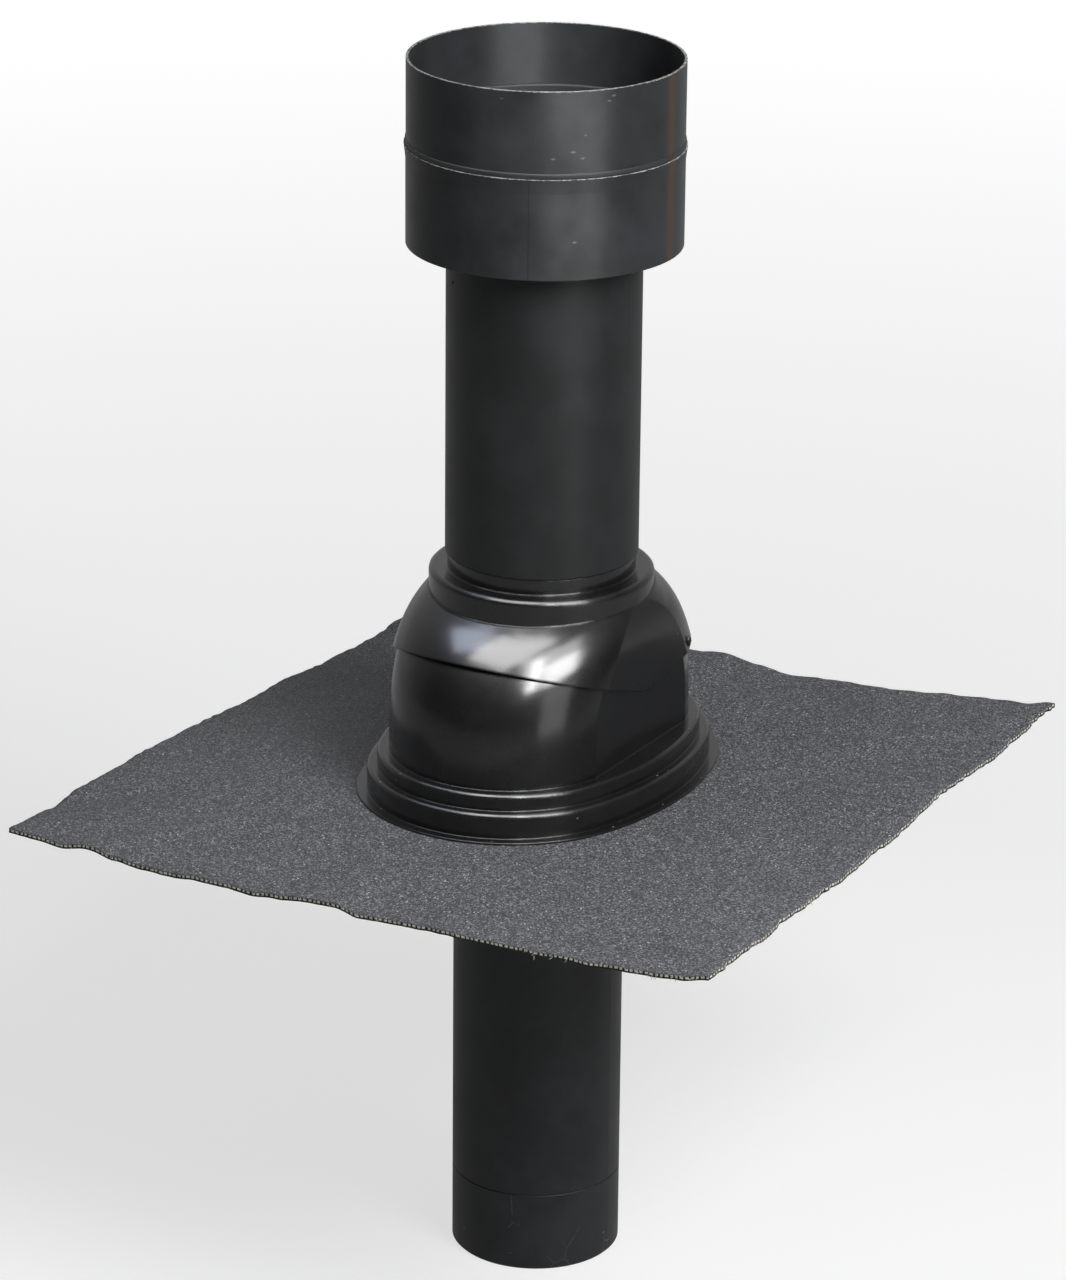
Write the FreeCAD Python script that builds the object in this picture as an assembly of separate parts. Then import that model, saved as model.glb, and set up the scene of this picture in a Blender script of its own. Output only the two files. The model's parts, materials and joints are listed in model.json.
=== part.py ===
"""Roof vent with a pitched flashing boot: felt flange, boot base, boot hood, vent pipe and open cowl.

Units are millimetres. The origin is on the pipe's axis at its lower end, +Z points up the pipe,
+Y runs along the boot's long axis and +X across it, square to the boot's flat sides.
"""
import FreeCAD
import Part
import math
import os

V = FreeCAD.Vector
UP = V(0, 0, 1)

# ---- felt flange -------------------------------------------------------------------------
FELT_SIDE = 500.0           # square sheet of mineral felt
FELT_THICK = 4.0
FELT_TOP = 333.0            # roof plane: upper face of the felt
FELT_CORNER_R = 4.0
FELT_HOLE_MARGIN = 9.0      # felt left inside the boot's lower step wall

# ---- boot base ---------------------------------------------------------------------------
BOOT_WALL = 3.0
OVAL_LENGTH = 245.0         # upper step, outside, along Y
OVAL_END_R = 84.0           # radius of the oval's round ends
OVAL_BULGE = 6.5            # the oval's long sides swell this far past the ends' radius
STEP_LEDGE = 6.5            # each step stands this far outside the one above
FLANGE_RIM = 6.5            # weld rim outside the lower step
FLANGE_THICK = 1.6
LOWER_STEP_RISE = 17.5      # roof plane to the lower step's ledge
UPPER_STEP_RISE = 10.5
STEP_ROUND = 2.4            # rounding of each step's rim
ROUND_STEPS = 3             # cone bands that make up a rounding
SHELL_LEDGE = 7.5           # ledge between the upper step and the shell's round ends
SHELL_FLAT_CUT = 2.5        # the flat sides are cut this far inside the end radius
SHELL_RISE_SHARE = 0.678    # shell height over its half length at the foot
SHELL_CURVE_SHARE = 0.852   # height at which the shell's ends would close over, likewise
SHELL_CURVE_POWER = 3.0     # upright at the foot, then leaning in ever more
SHELL_SECTIONS = 9
THROAT_CLEAR = 1.0          # cutters run this far past the faces they cut

# ---- boot hood ---------------------------------------------------------------------------
HOOD_WALL = 2.6
HOOD_GAP_FLAT = 0.9         # hood flats to shell flats
HOOD_ARC_OVER = 9.5         # hood ends turn on an arc this much larger than the shell's foot
HOOD_END_R_EXTRA = 3.0      # hood end radius over the shell's end radius
SKIRT_RISE = 39.5           # pitch axis to where the skirt's two slopes would cross
SKIRT_FRONT_SLOPE = 0.35    # rise of the skirt edge towards -Y
SKIRT_BACK_SLOPE = 0.165    # rise of the skirt edge towards +Y
SKIRT_TONGUE_R = 26.0       # rounding of the tongue between the two slopes
SKIRT_MARGIN = 6.0          # the dome is formed this far below the skirt before trimming
DOME_RISE_SHARE = 0.789     # height where the dome meets the collar over the hood's arc radius
DOME_TILT = 3.4             # degrees; the dome's top leans down towards -Y
DOME_EDGE = 0.2             # least width of the dome's round ends beside its flats
DOME_TIP_EXTRA = 2.0        # the dome's top is this much longer than the collar at each end
SHOULDER_RISE = 37.7        # height over which the dome turns from its flats into the collar
SHOULDER_POWER = 3.5        # how late in the shoulder the outline turns round
TIP_POWER = 4.0             # how late in the shoulder the ends draw in
SKIRT_SECTIONS = 3
SHOULDER_SECTIONS = 7
COLLAR_STEP = 2.5           # the collar stands this far inside the shell's flat sides
COLLAR_RISE = 12.8          # dome's top to the collar's top
COLLAR_ROUND = 3.2
NECK_R = 59.75
NECK_RISE = 10.6            # collar's top to the neck's top
NECK_DEPTH = 24.0           # socket of the neck, from its top down
NECK_CLEAR = 0.4
HOOD_RIBS = 6
HOOD_RIB_THICK = 2.5

# ---- pipes -------------------------------------------------------------------------------
PIPE_R = 55.0
PIPE_WALL = 2.7
SPIGOT_VISIBLE = 53.7       # end piece below the pipe's lower seam
SPIGOT_PLUG = 42.0          # its plug inside the pipe
SPIGOT_WALL = 2.4
PLUG_CLEAR = 0.1
END_CHAMFER = 1.4
SEAM_CHAMFER = 0.5
SLEEVE_R = 61.25
SLEEVE_WALL = 3.0
SLEEVE_LENGTH = 239.4       # neck's top to the pipe's mouth
WEEP_HOLE_R = 1.0
WEEP_HOLE_DROP = 55.0       # below the pipe's mouth
WEEP_HOLE_TURN = 146.0      # degrees from +X

# ---- cowl --------------------------------------------------------------------------------
RING_R = 86.1
RING_WALL = 1.6
LOWER_RING_EXTRA = 0.2      # the lower ring is this much larger
LOWER_RING_FLARE = 1.1      # outward flare at the lower ring's top
LOWER_RING_FLARE_RISE = 9.0
LOWER_RING_HEIGHT = 63.1
BAND_RISE = 25.2            # pipe's mouth to the band between the rings
BAND_HEIGHT = 3.5
BAND_PROUD = 0.5
UPPER_RING_HEIGHT = 50.5
SOCKET_CLEAR = 0.15
SOCKET_WALL = 2.2
SOCKET_DEPTH = 11.5
HUB_CLEAR = 0.15
HUB_WALL = 3.0
HUB_DEPTH = 22.0
HUB_LIP = 3.0
WEB_COUNT = 4
WEB_THICK = 3.0
DEFLECTOR_R = 64.0
DEFLECTOR_GAP = 26.0        # pipe mouth to the deflector's rim
DEFLECTOR_RISE = 14.0
DEFLECTOR_WALL = 2.4
DEFLECTOR_SEAT = 9.0        # flat rim that rests on the webs

# ---- derived levels ----------------------------------------------------------------------
LOWER_LEDGE = FELT_TOP + LOWER_STEP_RISE
SHELL_FOOT = LOWER_LEDGE + UPPER_STEP_RISE
PITCH_AXIS = SHELL_FOOT     # the shell's and the hood's ends are arcs about this height
SHELL_END_R = OVAL_END_R - SHELL_LEDGE
SHELL_FLAT_HALF = SHELL_END_R - SHELL_FLAT_CUT
SHELL_FOOT_REACH = OVAL_LENGTH / 2 - SHELL_LEDGE
SHELL_RISE = SHELL_RISE_SHARE * SHELL_FOOT_REACH
SHELL_CURVE_RISE = SHELL_CURVE_SHARE * SHELL_FOOT_REACH
SHELL_TOP = SHELL_FOOT + SHELL_RISE
HOOD_ARC_R = SHELL_FOOT_REACH + HOOD_ARC_OVER
SKIRT_LOW = PITCH_AXIS + SKIRT_RISE
DOME_TOP = PITCH_AXIS + DOME_RISE_SHARE * HOOD_ARC_R
COLLAR_R = SHELL_FLAT_HALF - COLLAR_STEP
COLLAR_TOP = DOME_TOP + COLLAR_RISE
NECK_TOP = COLLAR_TOP + NECK_RISE
PIPE_TOP = NECK_TOP + SLEEVE_LENGTH
BAND_BOTTOM = PIPE_TOP + BAND_RISE
BAND_TOP = BAND_BOTTOM + BAND_HEIGHT
LOWER_RING_BOTTOM = BAND_BOTTOM - LOWER_RING_HEIGHT
RIM_TOP = BAND_TOP + UPPER_RING_HEIGHT


def cylinder(radius, bottom, top):
    return Part.makeCylinder(radius, top - bottom, V(0, 0, bottom))


def tube(outer, inner, bottom, top):
    return cylinder(outer, bottom, top).cut(cylinder(inner, bottom - 1, top + 1))


def turned(points):
    """Solid of revolution about the pipe's axis from a closed (radius, height) outline."""
    corners = [V(r, 0, z) for r, z in points]
    face = Part.Face(Part.makePolygon(corners + corners[:1]))
    return face.revolve(V(0, 0, 0), UP, 360)


def oval_wire(offset, z):
    """Four-arc oval of the boot's steps; offset grows or shrinks it evenly."""
    half_long = OVAL_LENGTH / 2 + offset
    end_r = OVAL_END_R + offset
    half_wide = end_r + OVAL_BULGE
    end_y = half_long - end_r
    side_r = (end_y ** 2 + half_wide ** 2 - end_r ** 2) / (2 * (half_wide - end_r))
    side_x = side_r - half_wide
    reach = end_r / math.hypot(end_y, side_x)
    join = V(side_x * reach, end_y + end_y * reach, z)
    corners = [V(join.x, join.y, z), V(-join.x, join.y, z), V(-join.x, -join.y, z), V(join.x, -join.y, z)]
    middles = [V(0, half_long, z), V(-half_wide, 0, z), V(0, -half_long, z), V(half_wide, 0, z)]
    arcs = [Part.Arc(corners[i], middles[i], corners[(i + 1) % 4]).toShape() for i in range(4)]
    return Part.Wire(arcs)


def oval_solid(offset, bottom, top):
    return Part.Face(oval_wire(offset, bottom)).extrude(V(0, 0, top - bottom))


def quarter_round(radius):
    """(inset, drop) pairs along a quarter round, from its upright side to its level side."""
    turns = [math.pi / 2 * i / ROUND_STEPS for i in range(ROUND_STEPS + 1)]
    return [(radius * (1 - math.cos(turn)), radius * (1 - math.sin(turn))) for turn in turns]


def rounded_oval(offset, bottom, top, radius):
    """Oval prism whose upper rim is rounded."""
    wires = [oval_wire(offset, bottom)]
    wires += [oval_wire(offset - inset, top - drop) for inset, drop in quarter_round(radius)]
    return Part.makeLoft(wires, True, True)


def flat_oval_wire(end_y, end_r, flat_half, z):
    """Round-ended outline with flat sides: two end arcs about (0, +-end_y) and two straight sides."""
    corner_y = end_y + math.sqrt(end_r ** 2 - flat_half ** 2)
    right_back = V(flat_half, corner_y, z)
    left_back = V(-flat_half, corner_y, z)
    left_front = V(-flat_half, -corner_y, z)
    right_front = V(flat_half, -corner_y, z)
    back = Part.Arc(right_back, V(0, end_y + end_r, z), left_back).toShape()
    left = Part.makeLine(left_back, left_front)
    front = Part.Arc(left_front, V(0, -end_y - end_r, z), right_front).toShape()
    right = Part.makeLine(right_front, right_back)
    return Part.Wire([back, left, front, right])


def loft(wires):
    return Part.makeLoft(wires, True, False)


def felt_flange():
    half = FELT_SIDE / 2
    bottom = FELT_TOP - FELT_THICK
    sheet = Part.makeBox(FELT_SIDE, FELT_SIDE, FELT_THICK, V(-half, -half, bottom))
    upright = [e for e in sheet.Edges if abs(e.tangentAt(e.FirstParameter).z) > 0.9]
    sheet = sheet.makeFillet(FELT_CORNER_R, upright)
    return sheet.cut(oval_solid(STEP_LEDGE - FELT_HOLE_MARGIN, bottom - 1, FELT_TOP + 1))


def shell_form(inset):
    """Shell of the base above its steps, shrunk by inset; upright at the foot, then leaning in."""
    wires = []
    for i in range(SHELL_SECTIONS):
        rise = SHELL_RISE * i / (SHELL_SECTIONS - 1)
        lean = 1 - (rise / SHELL_CURVE_RISE) ** SHELL_CURVE_POWER
        end_y = SHELL_FOOT_REACH * lean ** (1 / SHELL_CURVE_POWER) - SHELL_END_R
        wires.append(flat_oval_wire(end_y, SHELL_END_R - inset, SHELL_FLAT_HALF - inset, SHELL_FOOT + rise))
    return loft(wires)


def boot_base():
    lower = rounded_oval(STEP_LEDGE, FELT_TOP, LOWER_LEDGE, STEP_ROUND)
    upper = rounded_oval(0, FELT_TOP, SHELL_FOOT, STEP_ROUND)
    flange = oval_solid(STEP_LEDGE + FLANGE_RIM, FELT_TOP, FELT_TOP + FLANGE_THICK)
    body = flange.fuse([lower, upper, shell_form(0)])
    lower_hollow = oval_solid(STEP_LEDGE - BOOT_WALL, FELT_TOP - THROAT_CLEAR, LOWER_LEDGE - BOOT_WALL)
    upper_hollow = oval_solid(-BOOT_WALL, FELT_TOP, SHELL_FOOT - BOOT_WALL)
    throat_r = SHELL_END_R - BOOT_WALL
    throat_y = OVAL_LENGTH / 2 - OVAL_END_R
    throat_z = SHELL_FOOT - BOOT_WALL - THROAT_CLEAR
    throat_wire = flat_oval_wire(throat_y, throat_r, SHELL_FLAT_HALF - BOOT_WALL, throat_z)
    throat = Part.Face(throat_wire).extrude(V(0, 0, BOOT_WALL + THROAT_CLEAR))
    hollow = lower_hollow.fuse([upper_hollow, throat, shell_form(BOOT_WALL)])
    return body.cut(hollow).removeSplitter()


def dome_wire(rise, inset):
    """Outline of the hood at a height above the pitch axis, shrunk by inset.

    Below the shoulder it follows the shell; through the shoulder it turns round and tilts
    until it meets the collar.
    """
    end_r = SHELL_END_R + HOOD_END_R_EXTRA
    flat = SHELL_FLAT_HALF + HOOD_GAP_FLAT + HOOD_WALL
    top_rise = DOME_TOP - PITCH_AXIS
    turn = max(0, 1 - (top_rise - rise) / SHOULDER_RISE)
    blend = turn ** SHOULDER_POWER
    arc_reach = math.sqrt(HOOD_ARC_R ** 2 - rise ** 2)
    top_arc_reach = math.sqrt(HOOD_ARC_R ** 2 - top_rise ** 2)
    reach = arc_reach - (top_arc_reach - COLLAR_R - DOME_TIP_EXTRA) * turn ** TIP_POWER
    radius = end_r - (end_r - COLLAR_R) * blend
    half = flat - (flat - COLLAR_R) * blend - DOME_EDGE * blend
    z = PITCH_AXIS + rise - inset * turn ** 2
    wire = flat_oval_wire(reach - radius, radius - inset, half - inset, z)
    wire.rotate(V(0, 0, z), V(1, 0, 0), DOME_TILT * turn ** 2)
    return wire


def hood_form(inset):
    """Form of the hood from below its skirt up to the collar, shrunk by inset."""
    skirt_rise = SKIRT_LOW - SKIRT_MARGIN - PITCH_AXIS
    shoulder_rise = DOME_TOP - SHOULDER_RISE - PITCH_AXIS
    rises = [skirt_rise + (shoulder_rise - skirt_rise) * i / SKIRT_SECTIONS for i in range(SKIRT_SECTIONS)]
    rises += [shoulder_rise + SHOULDER_RISE * i / SHOULDER_SECTIONS for i in range(SHOULDER_SECTIONS + 1)]
    return loft([dome_wire(rise, inset) for rise in rises])


def skirt_cutter():
    """Everything below the skirt's edge: two slopes that meet in a rounded tongue."""
    reach = HOOD_ARC_R + SKIRT_MARGIN
    floor = SKIRT_LOW - reach
    low = V(0, 0, SKIRT_LOW)
    front = V(0, -reach, SKIRT_LOW + SKIRT_FRONT_SLOPE * reach)
    back = V(0, reach, SKIRT_LOW + SKIRT_BACK_SLOPE * reach)
    outline = Part.makePolygon([low, back, V(0, reach, floor), V(0, -reach, floor), front, low])
    block = Part.Face(outline).extrude(V(2 * reach, 0, 0))
    block.translate(V(-reach, 0, 0))
    ridge = [e for e in block.Edges if e.CenterOfMass.distanceToPoint(low) < SKIRT_MARGIN]
    return block.makeFillet(SKIRT_TONGUE_R, ridge)


def hood_ribs():
    """Upright ribs under the dome; the hood rests on the shell's rim through them."""
    height = COLLAR_TOP - SHELL_TOP
    ribs = []
    for i in range(HOOD_RIBS):
        rib = Part.makeBox(HOOD_ARC_R, HOOD_RIB_THICK, height, V(NECK_R, -HOOD_RIB_THICK / 2, SHELL_TOP))
        rib.rotate(V(0, 0, 0), UP, 90 + 360 * i / HOOD_RIBS)
        ribs.append(rib)
    return ribs


def boot_hood():
    collar_foot = DOME_TOP - 2 * COLLAR_R * math.tan(math.radians(DOME_TILT))
    rim = [(COLLAR_R - inset, COLLAR_TOP - drop) for inset, drop in quarter_round(COLLAR_ROUND)]
    collar = turned([(0, collar_foot), (COLLAR_R, collar_foot)] + rim + [(0, COLLAR_TOP)])
    plate_bottom = COLLAR_TOP - HOOD_WALL
    neck = cylinder(NECK_R, plate_bottom, NECK_TOP)
    outside = hood_form(0).fuse([collar, neck])
    cavity = hood_form(HOOD_WALL).fuse(cylinder(COLLAR_R - HOOD_WALL, collar_foot, plate_bottom))
    socket = tube(NECK_R, PIPE_R + NECK_CLEAR, NECK_TOP - NECK_DEPTH, COLLAR_TOP)
    ribs = [rib.common(cavity) for rib in hood_ribs()]
    shell = outside.cut(cavity).fuse([socket] + ribs)
    bore = cylinder(PIPE_R + NECK_CLEAR, SHELL_FOOT, NECK_TOP + THROAT_CLEAR)
    return shell.cut(bore).cut(skirt_cutter()).removeSplitter()


def vent_pipe():
    inner = PIPE_R - PIPE_WALL
    return turned([
        (inner, SPIGOT_VISIBLE), (PIPE_R - SEAM_CHAMFER, SPIGOT_VISIBLE),
        (PIPE_R, SPIGOT_VISIBLE + SEAM_CHAMFER), (PIPE_R, PIPE_TOP), (inner, PIPE_TOP)])


def pipe_spigot():
    outer = PIPE_R
    plug = PIPE_R - PIPE_WALL - PLUG_CLEAR
    bore = plug - SPIGOT_WALL
    top = SPIGOT_VISIBLE + SPIGOT_PLUG
    return turned([
        (bore, 0), (outer - END_CHAMFER, 0), (outer, END_CHAMFER), (outer, SPIGOT_VISIBLE - SEAM_CHAMFER),
        (outer - SEAM_CHAMFER, SPIGOT_VISIBLE), (plug, SPIGOT_VISIBLE), (plug, top - END_CHAMFER),
        (plug - END_CHAMFER, top), (bore, top)])


def outer_sleeve():
    inner = SLEEVE_R - SLEEVE_WALL
    sleeve = turned([
        (inner, NECK_TOP), (SLEEVE_R - SEAM_CHAMFER, NECK_TOP), (SLEEVE_R, NECK_TOP + SEAM_CHAMFER),
        (SLEEVE_R, PIPE_TOP), (inner, PIPE_TOP)])
    start = V(SLEEVE_R - 1.5 * SLEEVE_WALL, 0, PIPE_TOP - WEEP_HOLE_DROP)
    weep = Part.makeCylinder(WEEP_HOLE_R, 2 * SLEEVE_WALL, start, V(1, 0, 0))
    weep.rotate(V(0, 0, 0), UP, WEEP_HOLE_TURN)
    return sleeve.cut(weep)


def cowl_upper_ring():
    return tube(RING_R, RING_R - RING_WALL, BAND_TOP, RIM_TOP)


def cowl_lower_ring():
    outer = RING_R + LOWER_RING_EXTRA
    inner = RING_R - RING_WALL
    return turned([
        (inner, LOWER_RING_BOTTOM), (outer, LOWER_RING_BOTTOM), (outer, BAND_BOTTOM - LOWER_RING_FLARE_RISE),
        (outer + LOWER_RING_FLARE, BAND_BOTTOM), (inner, BAND_BOTTOM)])


def web_outline():
    """One web's plate as (radius, height) corners: hub wall, socket ring and the deflector's seat."""
    hub_outer = SLEEVE_R + HUB_CLEAR + HUB_WALL
    root = hub_outer - HUB_WALL / 2
    tip = RING_R - RING_WALL - SOCKET_CLEAR - SOCKET_WALL / 2
    seat = DEFLECTOR_R - DEFLECTOR_SEAT
    return [
        (root, PIPE_TOP - HUB_DEPTH), (tip, BAND_BOTTOM - SOCKET_DEPTH), (tip, BAND_TOP),
        (DEFLECTOR_R, PIPE_TOP + DEFLECTOR_GAP), (seat, PIPE_TOP + DEFLECTOR_GAP),
        (seat, PIPE_TOP + HUB_LIP / 2), (root, PIPE_TOP + HUB_LIP / 2)]


def cowl_spider():
    socket_outer = RING_R - RING_WALL - SOCKET_CLEAR
    socket_inner = socket_outer - SOCKET_WALL
    socket = tube(socket_outer, socket_inner, BAND_BOTTOM - SOCKET_DEPTH, BAND_TOP + SOCKET_DEPTH)
    band = tube(RING_R + BAND_PROUD, socket_inner, BAND_BOTTOM, BAND_TOP)
    hub_inner = SLEEVE_R + HUB_CLEAR
    hub = tube(hub_inner + HUB_WALL, hub_inner, PIPE_TOP - HUB_DEPTH, PIPE_TOP + HUB_LIP)
    lip = tube(hub_inner + HUB_WALL, PIPE_R - PIPE_WALL, PIPE_TOP, PIPE_TOP + HUB_LIP)
    corners = [V(r, -WEB_THICK / 2, z) for r, z in web_outline()]
    plate = Part.Face(Part.makePolygon(corners + corners[:1])).extrude(V(0, WEB_THICK, 0))
    webs = []
    for i in range(WEB_COUNT):
        web = plate.copy()
        web.rotate(V(0, 0, 0), UP, 45 + 360 * i / WEB_COUNT)
        webs.append(web)
    return socket.fuse([band, hub, lip] + webs).removeSplitter()


def rain_deflector():
    """Shallow hat with a flat rim, standing on the webs above the pipe's mouth."""
    rim = PIPE_TOP + DEFLECTOR_GAP
    seat = DEFLECTOR_R - DEFLECTOR_SEAT
    apex = rim + DEFLECTOR_RISE
    return turned([
        (0, apex - DEFLECTOR_WALL), (seat, rim), (DEFLECTOR_R, rim), (DEFLECTOR_R, rim + DEFLECTOR_WALL),
        (seat, rim + DEFLECTOR_WALL), (0, apex)])


def main():
    pieces = {
        "felt_flange": felt_flange,
        "boot_base": boot_base,
        "boot_hood": boot_hood,
        "vent_pipe": vent_pipe,
        "pipe_spigot": pipe_spigot,
        "outer_sleeve": outer_sleeve,
        "cowl_spider": cowl_spider,
        "rain_deflector": rain_deflector,
        "cowl_lower_ring": cowl_lower_ring,
        "cowl_upper_ring": cowl_upper_ring,
    }
    os.makedirs("parts", exist_ok=True)
    for name, make in pieces.items():
        shape = make()
        shape.exportStep(f"parts/{name}.step")
        print(f"{name}: valid {shape.isValid()}, {len(shape.Solids)} solid, {shape.Volume / 1000:.1f} cm3")


main()
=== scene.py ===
"""Dresses a roof vent with a pipe flashing boot: finishes, felt sheet, floor, light and camera."""

import json
import logging
import math
import random
from dataclasses import dataclass
from enum import Enum

import bpy
from mathutils import Matrix, Vector, noise

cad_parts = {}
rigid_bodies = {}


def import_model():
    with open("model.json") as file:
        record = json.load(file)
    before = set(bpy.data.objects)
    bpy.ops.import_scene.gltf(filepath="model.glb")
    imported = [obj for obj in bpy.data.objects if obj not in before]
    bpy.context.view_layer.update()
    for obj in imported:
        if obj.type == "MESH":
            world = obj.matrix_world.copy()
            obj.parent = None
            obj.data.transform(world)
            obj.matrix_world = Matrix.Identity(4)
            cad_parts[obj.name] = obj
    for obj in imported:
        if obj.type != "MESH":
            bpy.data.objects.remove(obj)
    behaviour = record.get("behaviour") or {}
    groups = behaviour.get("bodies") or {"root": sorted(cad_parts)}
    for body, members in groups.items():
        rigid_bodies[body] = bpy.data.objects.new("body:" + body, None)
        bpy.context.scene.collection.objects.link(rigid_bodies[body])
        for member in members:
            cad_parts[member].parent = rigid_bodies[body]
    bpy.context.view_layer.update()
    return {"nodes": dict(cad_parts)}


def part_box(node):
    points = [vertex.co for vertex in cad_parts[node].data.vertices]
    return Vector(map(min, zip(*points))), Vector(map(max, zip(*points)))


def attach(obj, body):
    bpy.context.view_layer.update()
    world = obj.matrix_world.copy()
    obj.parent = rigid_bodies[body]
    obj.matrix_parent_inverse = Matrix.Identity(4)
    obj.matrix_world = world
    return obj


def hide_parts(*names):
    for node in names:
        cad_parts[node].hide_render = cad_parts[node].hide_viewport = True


LOG = logging.getLogger("roof_vent")
MM = 0.001
SEED = 11
# The boot's ovals lie between an ellipse, whose power is 2, and a rectangle.
OVAL_POWER = 2.4
WHITE = (1, 1, 1, 1)
UP = Vector((0, 0, 1))


def linear(code: str) -> tuple[float, float, float, float]:
    """Turns an sRGB hex colour into linear RGBA.

    Args:
        code: colour such as "#1a1b1c".

    Returns:
        Linear red, green and blue, and alpha 1.
    """
    parts = [int(code[i : i + 2], 16) / 255 for i in (1, 3, 5)]
    bent = [c / 12.92 if c <= 0.04045 else ((c + 0.055) / 1.055) ** 2.4 for c in parts]
    return (*bent, 1.0)


def add(tree: bpy.types.NodeTree, kind: str, settings: dict | None = None, **links) -> bpy.types.Node:
    """Adds one node with its settings and links.

    Args:
        tree: node tree that gets the node.
        kind: Blender's type name without the "ShaderNode" in front.
        settings: property or input name, or input number, to its value.
        **links: input name, with "_" for a space, or "i" and its number, to the output that feeds it.

    Returns:
        The new node.
    """
    made = tree.nodes.new("ShaderNode" + kind)
    values = settings or {}
    for key, value in values.items():
        if isinstance(key, str) and key not in made.inputs:
            setattr(made, key, value)
    for key, value in values.items():
        if isinstance(key, int) or key in made.inputs:
            made.inputs[key].default_value = value
    for key, source in links.items():
        numbered = key[0] == "i" and key[1:].isdigit()
        socket = made.inputs[int(key[1:])] if numbered else made.inputs[key.replace("_", " ")]
        tree.links.new(source, socket)
    return made


class Rough(Enum):
    """How a piece's faces are shaded."""

    SMOOTH = True
    FACETED = False


def mesh_piece(
    name: str,
    points: list[Vector],
    faces: list[tuple[int, ...]],
    shading: Rough = Rough.SMOOTH,
) -> bpy.types.Object:
    """Makes a mesh object in the part's own frame.

    Args:
        name: piece name.
        points: vertices in metres.
        faces: vertex numbers of each face.
        shading: smooth or faceted.

    Returns:
        The linked object.
    """
    mesh = bpy.data.meshes.new(name)
    mesh.from_pydata([tuple(p) for p in points], [], faces)
    mesh.polygons.foreach_set("use_smooth", [shading.value] * len(mesh.polygons))
    mesh.update()
    made = bpy.data.objects.new(name, mesh)
    bpy.context.scene.collection.objects.link(made)
    return made


def oval_reach(place: Vector, half_wide: float, half_long: float) -> float:
    """Measures how far out a place is in terms of an oval about the pipe's axis.

    Args:
        place: the place.
        half_wide: half the oval's width.
        half_long: half the oval's length.

    Returns:
        1 on the oval, less inside it and more outside it.
    """
    wide = abs(place.x / half_wide) ** OVAL_POWER
    long = abs(place.y / half_long) ** OVAL_POWER
    return (wide + long) ** (1 / OVAL_POWER)


# ---------------------------------------------------------------- finishes


@dataclass(frozen=True)
class Finish:
    """A finish that starts from one material and one way of making it."""

    name: str

    def start(self) -> tuple[bpy.types.Material, bpy.types.NodeTree, bpy.types.NodeSocket]:
        """Starts the material.

        Returns:
            The material, its node tree, and the place on the part in millimetres.
        """
        material = bpy.data.materials.new(self.name)
        material.use_nodes = True
        tree = material.node_tree
        tree.nodes.clear()
        place = add(tree, "TexCoord").outputs["Object"]
        in_mm = add(tree, "VectorMath", {"operation": "SCALE", "Scale": 1 / MM}, i0=place)
        return material, tree, in_mm.outputs[0]

    def close(self, tree: bpy.types.NodeTree, shader: bpy.types.Node) -> None:
        """Links the shader to the material's output."""
        add(tree, "OutputMaterial", Surface=shader.outputs[0])


@dataclass(frozen=True)
class RoundWall(Finish):
    """A finish of a round wall that has been knocked here and there."""

    radius_mm: float = 55.0
    scuff_colour: str = "#8f959b"
    scuff_strength: float = 0.7
    # Each knock is its turn in degrees, its level in millimetres and its size in millimetres.
    scuffs: tuple[tuple[float, float, float], ...] = ()

    def scuffed(
        self,
        tree: bpy.types.NodeTree,
        place: bpy.types.NodeSocket,
        grain: bpy.types.NodeSocket,
        colour: bpy.types.NodeSocket,
    ) -> bpy.types.NodeSocket:
        """Lays pale knocks over a colour.

        Args:
            tree: the material's node tree.
            place: the place on the part in millimetres.
            grain: fine noise that makes the outlines ragged.
            colour: the colour below.

        Returns:
            The colour with the knocks on it.
        """
        flatness = 2.2
        raggedness = 1.6
        for turn, level, size in self.scuffs:
            # A knock leaves a pale, slightly flattened spot with a ragged outline.
            centre = Matrix.Rotation(math.radians(turn), 3, "Z") @ Vector((self.radius_mm, 0, 0))
            spot = add(
                tree,
                "VectorMath",
                {"operation": "SUBTRACT", 1: (centre.x, centre.y, level)},
                i0=place,
            )
            flat = add(
                tree,
                "VectorMath",
                {"operation": "MULTIPLY", 1: (1.0, 1.0, flatness)},
                i0=spot.outputs[0],
            )
            far = add(tree, "VectorMath", {"operation": "LENGTH"}, i0=flat.outputs[0])
            ragged = add(
                tree,
                "Math",
                {"operation": "MULTIPLY_ADD", 1: raggedness},
                i0=grain,
                i2=far.outputs[1],
            )
            mask = add(
                tree,
                "MapRange",
                {1: size * 0.4, 2: size + 1.5, 3: self.scuff_strength, 4: 0.0},
                Value=ragged.outputs[0],
            )
            mixed = add(
                tree,
                "Mix",
                {"data_type": "RGBA", 7: linear(self.scuff_colour)},
                i0=mask.outputs[0],
                i6=colour,
            )
            colour = mixed.outputs[2]
        return colour


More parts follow.
